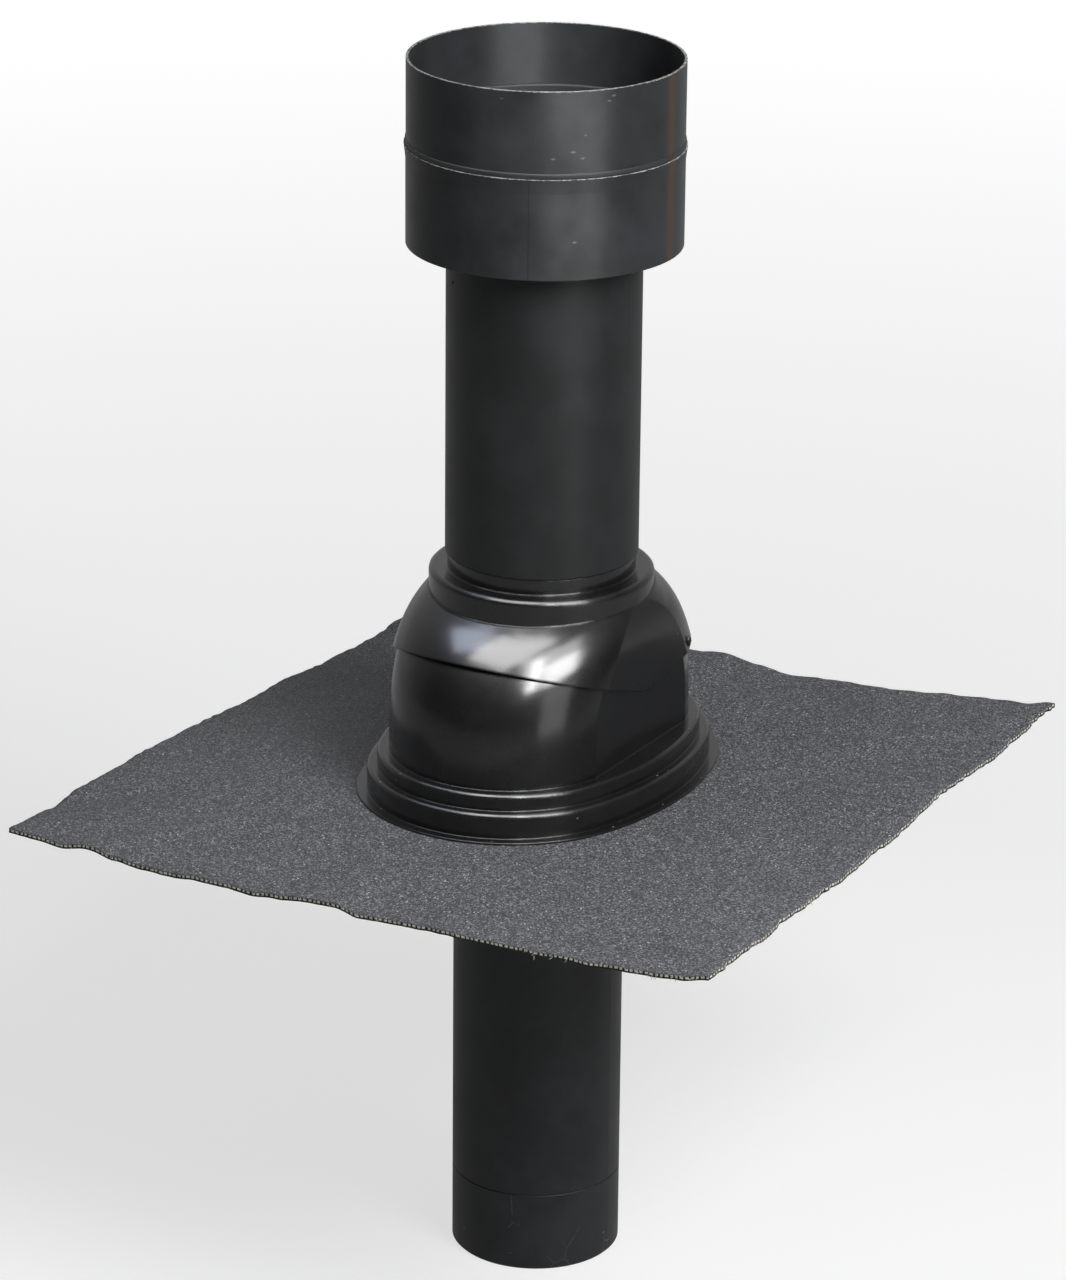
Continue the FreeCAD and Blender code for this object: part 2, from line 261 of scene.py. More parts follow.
@dataclass(frozen=True)
class MouldedPlastic(Finish):
    """Injection-moulded black PVC: the polished tool gives it a glossy skin over a softer shine."""

    colour: str = "#0a0a0b"
    worn_colour: str = "#1b1c1e"
    roughness: float = 0.44
    smudge_roughness: float = 0.56
    ior: float = 1.53
    specular: float = 0.1
    skin: float = 0.85
    skin_roughness: float = 0.19
    peel_mm: float = 11.0
    smudge_mm: float = 42.0
    dust_colour: str = "#8d8c86"
    dust_mm: float = 5.5
    dust_share: float = 0.035
    # A speck covers this part of the distance between two cells.
    speck_size: float = 0.075
    # The tool's edges are rounded by edge_mm below the shell's foot, and by blend_mm above it.
    edge_mm: float = 1.1
    blend_mm: float = 1.9
    foot_levels_mm: tuple[float, float] = (363.0, 366.0)

    def material(self) -> bpy.types.Material:
        """Builds the material.

        Returns:
            The finished material.
        """
        made, tree, place = self.start()
        # Fingers and packing leave cloudy patches where the shine is softer.
        smudge = add(
            tree,
            "TexNoise",
            {"Scale": 1 / self.smudge_mm, "Detail": 5.0, "Roughness": 0.62},
            Vector=place,
        )
        rough = add(
            tree,
            "MapRange",
            {1: 0.38, 2: 0.72, 3: self.roughness, 4: self.smudge_roughness},
            Value=smudge.outputs[0],
        )
        # Fallen dust shows as pale points a fraction of a millimetre across.
        cells = add(
            tree, "TexVoronoi", {"Scale": 1 / self.dust_mm, "Randomness": 1.0}, Vector=place
        )
        near = add(
            tree,
            "Math",
            {"operation": "LESS_THAN", 1: self.speck_size},
            i0=cells.outputs["Distance"],
        )
        drawn = add(tree, "SeparateColor", i0=cells.outputs["Color"])
        chosen = add(
            tree, "Math", {"operation": "LESS_THAN", 1: self.dust_share}, i0=drawn.outputs[0]
        )
        dust = add(
            tree, "Math", {"operation": "MULTIPLY"}, i0=near.outputs[0], i1=chosen.outputs[0]
        )
        worn = add(tree, "MapRange", {1: 0.5, 2: 0.8, 3: 0.0, 4: 0.6}, Value=smudge.outputs[0])
        tone = add(
            tree,
            "Mix",
            {"data_type": "RGBA", 6: linear(self.colour), 7: linear(self.worn_colour)},
            i0=worn.outputs[0],
        )
        dusty = add(
            tree,
            "Mix",
            {"data_type": "RGBA", 7: linear(self.dust_colour)},
            i0=dust.outputs[0],
            i6=tone.outputs[2],
        )
        # The tool's own polish leaves a long, very low ripple in the highlight.
        peel = add(tree, "TexNoise", {"Scale": 1 / self.peel_mm, "Detail": 2.0}, Vector=place)
        level = add(tree, "SeparateXYZ", i0=place).outputs[2]
        low, high = self.foot_levels_mm
        blend = add(
            tree,
            "MapRange",
            {1: low, 2: high, 3: self.edge_mm * MM, 4: self.blend_mm * MM},
            Value=level,
        )
        edge = add(tree, "Bevel", {"samples": 4}, Radius=blend.outputs[0])
        bump = add(
            tree,
            "Bump",
            {"Strength": 0.04, "Distance": 0.5 * MM},
            Height=peel.outputs[0],
            Normal=edge.outputs[0],
        )
        shader = add(
            tree,
            "BsdfPrincipled",
            {
                "IOR": self.ior,
                "Specular IOR Level": self.specular,
                "Coat Weight": self.skin,
                "Coat Roughness": self.skin_roughness,
                "Coat IOR": self.ior,
            },
            Base_Color=dusty.outputs[2],
            Roughness=rough.outputs[0],
            Normal=bump.outputs[0],
            Coat_Normal=bump.outputs[0],
        )
        self.close(tree, shader)
        return made


@dataclass(frozen=True)
class ExtrudedPlastic(RoundWall):
    """Extruded black pipe plastic: matt, with long die lines and the scratches of handling."""

    colour: str = "#26272a"
    worn_colour: str = "#363839"
    scratch_colour: str = "#6a6c6c"
    roughness: float = 0.46
    specular: float = 0.30
    die_line_mm: float = 2.6
    die_stretch: float = 60.0
    cloud_mm: float = 55.0
    grain_mm: float = 1.6
    rubbed_mm: float = 34.0
    scratch_gap_mm: float = 21.0
    scratch_level: float = 0.0
    edge_mm: float = 0.7

    def scratches(
        self, tree: bpy.types.NodeTree, place: bpy.types.NodeSocket, colour: bpy.types.NodeSocket
    ) -> bpy.types.NodeSocket:
        """Draws hair-thin scratches over a colour.

        Args:
            tree: the material's node tree.
            place: the place on the part in millimetres.
            colour: the colour below.

        Returns:
            The colour with the scratches on it.
        """
        # A scratch is the thin line between two stretched cells, and shows only on rubbed patches.
        turned = add(
            tree,
            "VectorRotate",
            {"rotation_type": "EULER_XYZ", "Rotation": (0.5, 0.62, 0.3)},
            Vector=place,
        )
        slim = add(
            tree, "VectorMath", {"operation": "MULTIPLY", 1: (1.0, 1.0, 0.16)}, i0=turned.outputs[0]
        )
        cells = add(
            tree,
            "TexVoronoi",
            {"feature": "DISTANCE_TO_EDGE", "Scale": 1 / self.scratch_gap_mm},
            Vector=slim.outputs[0],
        )
        hair = add(
            tree, "MapRange", {1: 0.0, 2: 0.011, 3: 1.0, 4: 0.0}, Value=cells.outputs["Distance"]
        )
        rubbed = add(
            tree,
            "TexNoise",
            {"Scale": 1 / self.rubbed_mm, "Detail": 4.0, "Roughness": 0.7},
            Vector=place,
        )
        patch = add(
            tree,
            "MapRange",
            {1: 0.56, 2: 0.66, 3: 0.0, 4: self.scratch_level},
            Value=rubbed.outputs[0],
        )
        scratch = add(
            tree, "Math", {"operation": "MULTIPLY"}, i0=hair.outputs[0], i1=patch.outputs[0]
        )
        mixed = add(
            tree,
            "Mix",
            {"data_type": "RGBA", 7: linear(self.scratch_colour)},
            i0=scratch.outputs[0],
            i6=colour,
        )
        return mixed.outputs[2]

    def material(self) -> bpy.types.Material:
        """Builds the material.

        Returns:
            The finished material.
        """
        made, tree, place = self.start()
        # Die lines run the pipe's whole length, so the pattern is stretched along it.
        drawn_out = add(
            tree,
            "VectorMath",
            {"operation": "MULTIPLY", 1: (1.0, 1.0, 1 / self.die_stretch)},
            i0=place,
        )
        lines = add(
            tree,
            "TexNoise",
            {"Scale": 1 / self.die_line_mm, "Detail": 3.0, "Roughness": 0.6},
            Vector=drawn_out.outputs[0],
        )
        cloud = add(
            tree,
            "TexNoise",
            {"Scale": 1 / self.cloud_mm, "Detail": 6.0, "Roughness": 0.65},
            Vector=place,
        )
        worn = add(tree, "MapRange", {1: 0.42, 2: 0.72, 3: 0.0, 4: 1.0}, Value=cloud.outputs[0])
        tone = add(
            tree,
            "Mix",
            {"data_type": "RGBA", 6: linear(self.colour), 7: linear(self.worn_colour)},
            i0=worn.outputs[0],
        )
        colour = tone.outputs[2]
        if self.scratch_level:
            colour = self.scratches(tree, place, colour)
        if self.scuffs:
            grain = add(tree, "TexNoise", {"Scale": 1 / self.grain_mm, "Detail": 3.0}, Vector=place)
            colour = self.scuffed(tree, place, grain.outputs[0], colour)
        rough = add(
            tree,
            "MapRange",
            {1: 0.3, 2: 0.7, 3: self.roughness - 0.05, 4: self.roughness + 0.09},
            Value=cloud.outputs[0],
        )
        edge = add(tree, "Bevel", {"samples": 4, "Radius": self.edge_mm * MM})
        bump = add(
            tree,
            "Bump",
            {"Strength": 0.16, "Distance": 0.12 * MM},
            Height=lines.outputs[0],
            Normal=edge.outputs[0],
        )
        shader = add(
            tree,
            "BsdfPrincipled",
            {"IOR": 1.5, "Specular IOR Level": self.specular},
            Base_Color=colour,
            Roughness=rough.outputs[0],
            Normal=bump.outputs[0],
        )
        self.close(tree, shader)
        return made


@dataclass(frozen=True)
class RolledSheetPlastic(RoundWall):
    """Black polyethylene sheet, rolled, welded and sawn: satin, cloudy, with pale sawn edges."""

    colour: str = "#2b2c2d"
    cloud_colour: str = "#373a3c"
    stain_colour: str = "#4b3e2f"
    seam_colour: str = "#141414"
    edge_colour: str = "#cfcfcd"
    radius_mm: float = 86.1
    roughness: float = 0.39
    inner_roughness: float = 0.42
    specular: float = 0.23
    # The rolls leave fine lines round the ring, which draw a highlight out along the axis.
    stretch: float = 0.85
    stretch_turn: float = 0.25
    cloud_mm: float = 38.0
    fibre_mm: float = 2.2
    seam_turn: float = -66.7
    stain_turn: float = 2.0
    sawn_levels: tuple[float, ...] = ()
    seam: bool = False

    def turned(
        self, tree: bpy.types.NodeTree, place: bpy.types.NodeSocket, turn: float
    ) -> bpy.types.Node:
        """Splits the place into axes, of which the first points out of the wall at one turn.

        Args:
            tree: the material's node tree.
            place: the place on the part in millimetres.
            turn: degrees round the pipe's axis from +X.

        Returns:
            The node that gives the three axes.
        """
        node = add(
            tree,
            "VectorRotate",
            {"rotation_type": "Z_AXIS", "Angle": -math.radians(turn)},
            Vector=place,
        )
        return add(tree, "SeparateXYZ", i0=node.outputs[0])

    def stained(
        self, tree: bpy.types.NodeTree, place: bpy.types.NodeSocket, colour: bpy.types.NodeSocket
    ) -> bpy.types.NodeSocket:
        """Lays the brown stain over a colour.

        Args:
            tree: the material's node tree.
            place: the place on the part in millimetres.
            colour: the colour below.

        Returns:
            The colour with the stain on it.
        """
        # Resin has run down one side and dried as a thin brown stain.
        axes = self.turned(tree, place, self.stain_turn)
        off = add(tree, "Math", {"operation": "ABSOLUTE"}, i0=axes.outputs[1])
        band = add(tree, "MapRange", {1: 0.5, 2: 8.0, 3: 0.8, 4: 0.0}, Value=off.outputs[0])
        front = add(tree, "Math", {"operation": "GREATER_THAN", 1: 0.0}, i0=axes.outputs[0])
        stain = add(
            tree, "Math", {"operation": "MULTIPLY"}, i0=band.outputs[0], i1=front.outputs[0]
        )
        mixed = add(
            tree,
            "Mix",
            {"data_type": "RGBA", 7: linear(self.stain_colour)},
            i0=stain.outputs[0],
            i6=colour,
        )
        return mixed.outputs[2]

    def hairline(
        self, tree: bpy.types.NodeTree, place: bpy.types.NodeSocket, cloud: bpy.types.NodeSocket
    ) -> bpy.types.NodeSocket:
        """Draws the mask of the scraped weld seam.

        Args:
            tree: the material's node tree.
            place: the place on the part in millimetres.
            cloud: slow noise that makes the line wander.

        Returns:
            The mask.
        """
        # The sheet's two ends are butt-welded and scraped flush, which leaves a hairline.
        axes = self.turned(tree, place, self.seam_turn)
        wander = add(tree, "Math", {"operation": "MULTIPLY_ADD", 1: 0.8, 2: -0.4}, i0=cloud)
        aside = add(tree, "Math", {"operation": "ADD"}, i0=axes.outputs[1], i1=wander.outputs[0])
        away = add(tree, "Math", {"operation": "ABSOLUTE"}, i0=aside.outputs[0])
        line = add(tree, "MapRange", {1: 0.2, 2: 0.6, 3: 0.4, 4: 0.0}, Value=away.outputs[0])
        outer = add(tree, "Math", {"operation": "GREATER_THAN", 1: 0.0}, i0=axes.outputs[0])
        both = add(tree, "Math", {"operation": "MULTIPLY"}, i0=line.outputs[0], i1=outer.outputs[0])
        return both.outputs[0]

    def sawn(
        self,
        tree: bpy.types.NodeTree,
        place: bpy.types.NodeSocket,
        fine: bpy.types.NodeSocket,
        colour: bpy.types.NodeSocket,
    ) -> bpy.types.NodeSocket:
        """Lays the pale sawn edges over a colour.

        Args:
            tree: the material's node tree.
            place: the place on the part in millimetres.
            fine: fine noise that makes the edges furry.
            colour: the colour below.

        Returns:
            The colour with the edges on it.
        """
        # The saw leaves a pale, furry line a fraction of a millimetre high.
        level = add(tree, "SeparateXYZ", i0=place).outputs[2]
        tufts = add(tree, "Math", {"operation": "MULTIPLY_ADD", 1: 0.9, 2: -0.35}, i0=fine)
        reach = add(tree, "MapRange", {1: 0.0, 2: 0.5, 3: 0.12, 4: 0.6}, Value=tufts.outputs[0])
        fur = add(tree, "MapRange", {1: 0.42, 2: 0.6, 3: 0.2, 4: 1.0}, Value=fine)
        for sawn_level in self.sawn_levels:
            gap = add(tree, "Math", {"operation": "SUBTRACT", 1: sawn_level}, i0=level)
            close = add(tree, "Math", {"operation": "ABSOLUTE"}, i0=gap.outputs[0])
            near = add(
                tree, "Math", {"operation": "LESS_THAN"}, i0=close.outputs[0], i1=reach.outputs[0]
            )
            mask = add(
                tree, "Math", {"operation": "MULTIPLY"}, i0=near.outputs[0], i1=fur.outputs[0]
            )
            mixed = add(
                tree,
                "Mix",
                {"data_type": "RGBA", 7: linear(self.edge_colour)},
                i0=mask.outputs[0],
                i6=colour,
            )
            colour = mixed.outputs[2]
        return colour

    def coarseness(
        self, tree: bpy.types.NodeTree, place: bpy.types.NodeSocket, cloud: bpy.types.NodeSocket
    ) -> bpy.types.NodeSocket:
        """Works out how rough the wall is.

        Args:
            tree: the material's node tree.
            place: the place on the part in millimetres.
            cloud: slow noise of wiping and handling.

        Returns:
            The roughness.
        """
        outside = add(
            tree,
            "MapRange",
            {1: 0.3, 2: 0.75, 3: self.roughness - 0.06, 4: self.roughness + 0.12},
            Value=cloud,
        )
        # The outside has been wiped and handled, so it is smoother than the inside.
        normal = add(tree, "NewGeometry").outputs["Normal"]
        axes = add(tree, "SeparateXYZ", i0=place)
        spoke = add(tree, "CombineXYZ", X=axes.outputs[0], Y=axes.outputs[1])
        outward = add(
            tree, "VectorMath", {"operation": "DOT_PRODUCT"}, i0=spoke.outputs[0], i1=normal
        )
        inside = add(tree, "Math", {"operation": "LESS_THAN", 1: 0.0}, i0=outward.outputs[1])
        wall = add(
            tree,
            "Mix",
            {"data_type": "FLOAT", 3: self.inner_roughness},
            i0=inside.outputs[0],
            i2=outside.outputs[0],
        )
        # Faces that look up or down were sawn, and are rougher still.
        upright = add(tree, "SeparateXYZ", i0=normal).outputs[2]
        cut = add(tree, "Math", {"operation": "ABSOLUTE"}, i0=upright)
        coarse = add(
            tree,
            "Math",
            {"operation": "MULTIPLY_ADD", 1: 0.3},
            i0=cut.outputs[0],
            i2=wall.outputs[0],
        )
        return coarse.outputs[0]

    def material(self) -> bpy.types.Material:
        """Builds the material.

        Returns:
            The finished material.
        """
        made, tree, place = self.start()
        cloud = add(
            tree,
            "TexNoise",
            {"Scale": 1 / self.cloud_mm, "Detail": 6.0, "Roughness": 0.62},
            Vector=place,
        ).outputs[0]
        fine = add(
            tree,
            "TexNoise",
            {"Scale": 1 / self.fibre_mm, "Detail": 3.0, "Roughness": 0.7},
            Vector=place,
        ).outputs[0]
        clouded = add(tree, "MapRange", {1: 0.36, 2: 0.68, 3: 0.0, 4: 1.0}, Value=cloud)
        tone = add(
            tree,
            "Mix",
            {"data_type": "RGBA", 6: linear(self.colour), 7: linear(self.cloud_colour)},
            i0=clouded.outputs[0],
        )
        colour = self.stained(tree, place, tone.outputs[2])
        height = fine
        if self.seam:
            hairline = self.hairline(tree, place, cloud)
            mixed = add(
                tree,
                "Mix",
                {"data_type": "RGBA", 7: linear(self.seam_colour)},
                i0=hairline,
                i6=colour,
            )
            colour = mixed.outputs[2]
            height = add(tree, "Math", {"operation": "SUBTRACT"}, i0=fine, i1=hairline).outputs[0]
        colour = self.scuffed(tree, place, fine, colour)
        colour = self.sawn(tree, place, fine, colour)
        bump = add(tree, "Bump", {"Strength": 0.12, "Distance": 0.2 * MM}, Height=height)
        shader = add(
            tree,
            "BsdfPrincipled",
            {
                "IOR": 1.51,
                "Specular IOR Level": self.specular,
                "Anisotropic": self.stretch,
                "Anisotropic Rotation": self.stretch_turn,
            },
            Base_Color=colour,
            Roughness=self.coarseness(tree, place, cloud),
            Normal=bump.outputs[0],
            Tangent=add(tree, "Tangent", {"direction_type": "RADIAL", "axis": "Z"}).outputs[0],
        )
        self.close(tree, shader)
        return made


@dataclass(frozen=True)
class SlateGranules(Finish):
    """Crushed slate pressed into bitumen: a grey grit with bright chips and dark gaps."""

    dark_colour: str = "#232427"
    mid_colour: str = "#4c4e53"
    light_colour: str = "#a9aaaf"
    chip_colour: str = "#e0e1e0"
    pink_colour: str = "#a08478"
    grit_mm: float = 0.85
    chip_share: float = 0.007
    pink_share: float = 0.0022
    cloud_mm: float = 60.0

    def material(self) -> bpy.types.Material:
        """Builds the material.

        Returns:
            The finished material.
        """
        made, tree, place = self.start()
        # One cell is one slate granule, as large as roofing grit is sieved to be.
        cells = add(
            tree, "TexVoronoi", {"Scale": 1 / self.grit_mm, "Randomness": 1.0}, Vector=place
        )
        drawn = add(tree, "SeparateColor", i0=cells.outputs["Color"])
        tone = add(tree, "ValToRGB", i0=drawn.outputs[0])
        ramp = tone.color_ramp
        ramp.elements[0].position = 0.0
        ramp.elements[0].color = linear(self.dark_colour)
        ramp.elements[1].position = 1.0
        ramp.elements[1].color = linear(self.light_colour)
        middle = ramp.elements.new(0.55)
        middle.color = linear(self.mid_colour)
        cloud = add(
            tree,
            "TexNoise",
            {"Scale": 1 / self.cloud_mm, "Detail": 4.0, "Roughness": 0.6},
            Vector=place,
        )
        shade = add(tree, "MapRange", {1: 0.3, 2: 0.7, 3: 0.88, 4: 1.12}, Value=cloud.outputs[0])
        gap = add(
            tree, "MapRange", {1: 0.25, 2: 0.75, 3: 1.0, 4: 0.55}, Value=cells.outputs["Distance"]
        )
        level = add(tree, "Math", {"operation": "MULTIPLY"}, i0=shade.outputs[0], i1=gap.outputs[0])
        grit = add(
            tree, "VectorMath", {"operation": "SCALE"}, i0=tone.outputs[0], Scale=level.outputs[0]
        )
        chips = add(
            tree, "Math", {"operation": "LESS_THAN", 1: self.chip_share}, i0=drawn.outputs[1]
        )
        bright = add(
            tree,
            "Mix",
            {"data_type": "RGBA", 7: linear(self.chip_colour)},
            i0=chips.outputs[0],
            i6=grit.outputs[0],
        )
        pinks = add(
            tree, "Math", {"operation": "LESS_THAN", 1: self.pink_share}, i0=drawn.outputs[2]
        )
        mixed = add(
            tree,
            "Mix",
            {"data_type": "RGBA", 7: linear(self.pink_colour)},
            i0=pinks.outputs[0],
            i6=bright.outputs[2],
        )
        bump = add(
            tree,
            "Bump",
            {"Strength": 0.75, "Distance": 0.5 * MM, "invert": True},
            Height=cells.outputs["Distance"],
        )
        shader = add(
            tree,
            "BsdfPrincipled",
            {"Roughness": 0.75, "IOR": 1.5, "Specular IOR Level": 0.35},
            Base_Color=mixed.outputs[2],
            Normal=bump.outputs[0],
        )
        self.close(tree, shader)
        return made


@dataclass(frozen=True)
class CutFelt(Finish):
    """The felt's knife-cut side: grit on top, pale glass mesh in the middle, black bitumen below."""

    mesh_colour: str = "#eeebdf"
    grit_colour: str = "#55585e"
    bitumen_colour: str = "#0c0c0d"
    stud_colour: str = "#050505"
    mesh_pitch_mm: float = 3.4
    stud_pitch_mm: float = 4.0
    jitter_mm: float = 5.0
    grain_mm: float = 0.9
    # Levels in the side run from 0 at its top to 1 at its underside.
    mesh_level: float = 0.48
    mesh_half: float = 0.24
    stud_level: float = 0.9

    def material(self) -> bpy.types.Material:
        """Builds the material.

        Returns:
            The finished material.
        """
        made, tree, place = self.start()
        lay = add(tree, "SeparateXYZ", i0=add(tree, "TexCoord").outputs["UV"])
        along, down = lay.outputs[0], lay.outputs[1]
        jitter = add(tree, "TexNoise", {"Scale": 1 / self.jitter_mm, "Detail": 2.0}, Vector=place)
        grain = add(tree, "TexNoise", {"Scale": 1 / self.grain_mm, "Detail": 2.0}, Vector=place)
        # Cut glass yarns stand in the side as short pale dashes at the mesh's pitch.
        pitch = add(
            tree,
            "Math",
            {"operation": "MULTIPLY_ADD", 1: 1 / self.mesh_pitch_mm},
            i0=along,
            i2=jitter.outputs[0],
        )
        phase = add(tree, "Math", {"operation": "FRACT"}, i0=pitch.outputs[0])
        dash = add(tree, "Math", {"operation": "LESS_THAN", 1: 0.62}, i0=phase.outputs[0])
        ends = add(tree, "Math", {"operation": "LESS_THAN", 1: 0.64}, i0=grain.outputs[0])
        level = add(
            tree, "Math", {"operation": "MULTIPLY_ADD", 1: 0.22}, i0=jitter.outputs[0], i2=down
        )
        offset = add(
            tree, "Math", {"operation": "SUBTRACT", 1: self.mesh_level}, i0=level.outputs[0]
        )
        height = add(tree, "Math", {"operation": "ABSOLUTE"}, i0=offset.outputs[0])
        band = add(
            tree, "Math", {"operation": "LESS_THAN", 1: self.mesh_half}, i0=height.outputs[0]
        )
        yarn = add(tree, "Math", {"operation": "MULTIPLY"}, i0=dash.outputs[0], i1=band.outputs[0])
        shown = add(tree, "Math", {"operation": "MULTIPLY"}, i0=yarn.outputs[0], i1=ends.outputs[0])
        top = add(tree, "MapRange", {1: 0.22, 2: 0.36, 3: 0.0, 4: 1.0}, Value=level.outputs[0])
        body = add(
            tree,
            "Mix",
            {"data_type": "RGBA", 6: linear(self.grit_colour), 7: linear(self.bitumen_colour)},
            i0=top.outputs[0],
        )
        yarns = add(
            tree,
            "Mix",
            {"data_type": "RGBA", 7: linear(self.mesh_colour)},
            i0=shown.outputs[0],
            i6=body.outputs[2],
        )
        # Black studs of bitumen stand along the lower edge at their own pitch.
        stud_pitch = add(
            tree, "Math", {"operation": "MULTIPLY", 1: 1 / self.stud_pitch_mm}, i0=along
        )
        stud_phase = add(tree, "Math", {"operation": "FRACT"}, i0=stud_pitch.outputs[0])
        stud_wide = add(tree, "Math", {"operation": "LESS_THAN", 1: 0.45}, i0=stud_phase.outputs[0])
        low = add(
            tree, "Math", {"operation": "GREATER_THAN", 1: self.stud_level}, i0=level.outputs[0]
        )
        stud = add(
            tree, "Math", {"operation": "MULTIPLY"}, i0=stud_wide.outputs[0], i1=low.outputs[0]
        )
        colour = add(
            tree,
            "Mix",
            {"data_type": "RGBA", 7: linear(self.stud_colour)},
            i0=stud.outputs[0],
            i6=yarns.outputs[2],
        )
        bump = add(tree, "Bump", {"Strength": 0.6, "Distance": 0.4 * MM}, Height=grain.outputs[0])
        shader = add(
            tree,
            "BsdfPrincipled",
            {"Roughness": 0.7, "Specular IOR Level": 0.3},
            Base_Color=colour.outputs[2],
            Normal=bump.outputs[0],
        )
        self.close(tree, shader)
        return made


@dataclass(frozen=True)
class SandedBitumen(Finish):
    """The felt's underside: bitumen dusted with fine sand, so almost black and faintly sparkling."""

    colour: str = "#151517"
    sand_colour: str = "#3a3937"
    sand_mm: float = 0.9
    patch_mm: float = 45.0

    def material(self) -> bpy.types.Material:
        """Builds the material.

        Returns:
            The finished material.
        """
        made, tree, place = self.start()
        cells = add(tree, "TexVoronoi", {"Scale": 1 / self.sand_mm}, Vector=place)
        drawn = add(tree, "SeparateColor", i0=cells.outputs["Color"])
        patch = add(tree, "TexNoise", {"Scale": 1 / self.patch_mm, "Detail": 4.0}, Vector=place)
        share = add(tree, "MapRange", {1: 0.35, 2: 0.7, 3: 0.1, 4: 0.6}, Value=patch.outputs[0])
        grains = add(
            tree, "Math", {"operation": "LESS_THAN"}, i0=drawn.outputs[0], i1=share.outputs[0]
        )
        tone = add(
            tree,
            "Mix",
            {"data_type": "RGBA", 6: linear(self.colour), 7: linear(self.sand_colour)},
            i0=grains.outputs[0],
        )
        bump = add(
            tree,
            "Bump",
            {"Strength": 0.5, "Distance": 0.3 * MM, "invert": True},
            Height=cells.outputs["Distance"],
        )
        shader = add(
            tree,
            "BsdfPrincipled",
            {"Roughness": 0.55, "Specular IOR Level": 0.4},
            Base_Color=tone.outputs[2],
            Normal=bump.outputs[0],
        )
        self.close(tree, shader)
        return made


@dataclass(frozen=True)
class PlainGrain(Finish):
    """A small part's plain finish with a fine grain: glass yarn, stone crumb or melted weld."""

    colour: str = "#c4c0b2"
    second_colour: str = "#8f8a7c"
    grain_mm: float = 0.8
    roughness: float = 0.7
    specular: float = 0.3

    def material(self) -> bpy.types.Material:
        """Builds the material.

        Returns:
            The finished material.
        """
        made, tree, place = self.start()
        grain = add(tree, "TexNoise", {"Scale": 1 / self.grain_mm, "Detail": 3.0}, Vector=place)
        tone = add(
            tree,
            "Mix",
            {"data_type": "RGBA", 6: linear(self.colour), 7: linear(self.second_colour)},
            i0=grain.outputs[0],
        )
        bump = add(tree, "Bump", {"Strength": 0.4, "Distance": 0.2 * MM}, Height=grain.outputs[0])
        shader = add(
            tree,
            "BsdfPrincipled",
            {"Roughness": self.roughness, "Specular IOR Level": self.specular},
            Base_Color=tone.outputs[2],
            Normal=bump.outputs[0],
        )
        self.close(tree, shader)
        return made


def dress(target: bpy.types.Object, *materials: bpy.types.Material) -> None:
    """Puts materials into an object's slots.

    Args:
        target: object to dress.
        *materials: one material for each slot, in order.
    """
    if len(target.material_slots) == len(materials):
        for slot, material in zip(target.material_slots, materials):
            slot.link = "OBJECT"
            slot.material = material
        return
    # Clearing an empty list would send every face back to slot 0, so it isn't done.
    if target.data.materials:
        target.data.materials.clear()
    for material in materials:
        target.data.materials.append(material)


# ---------------------------------------------------------------- sub-assemblies


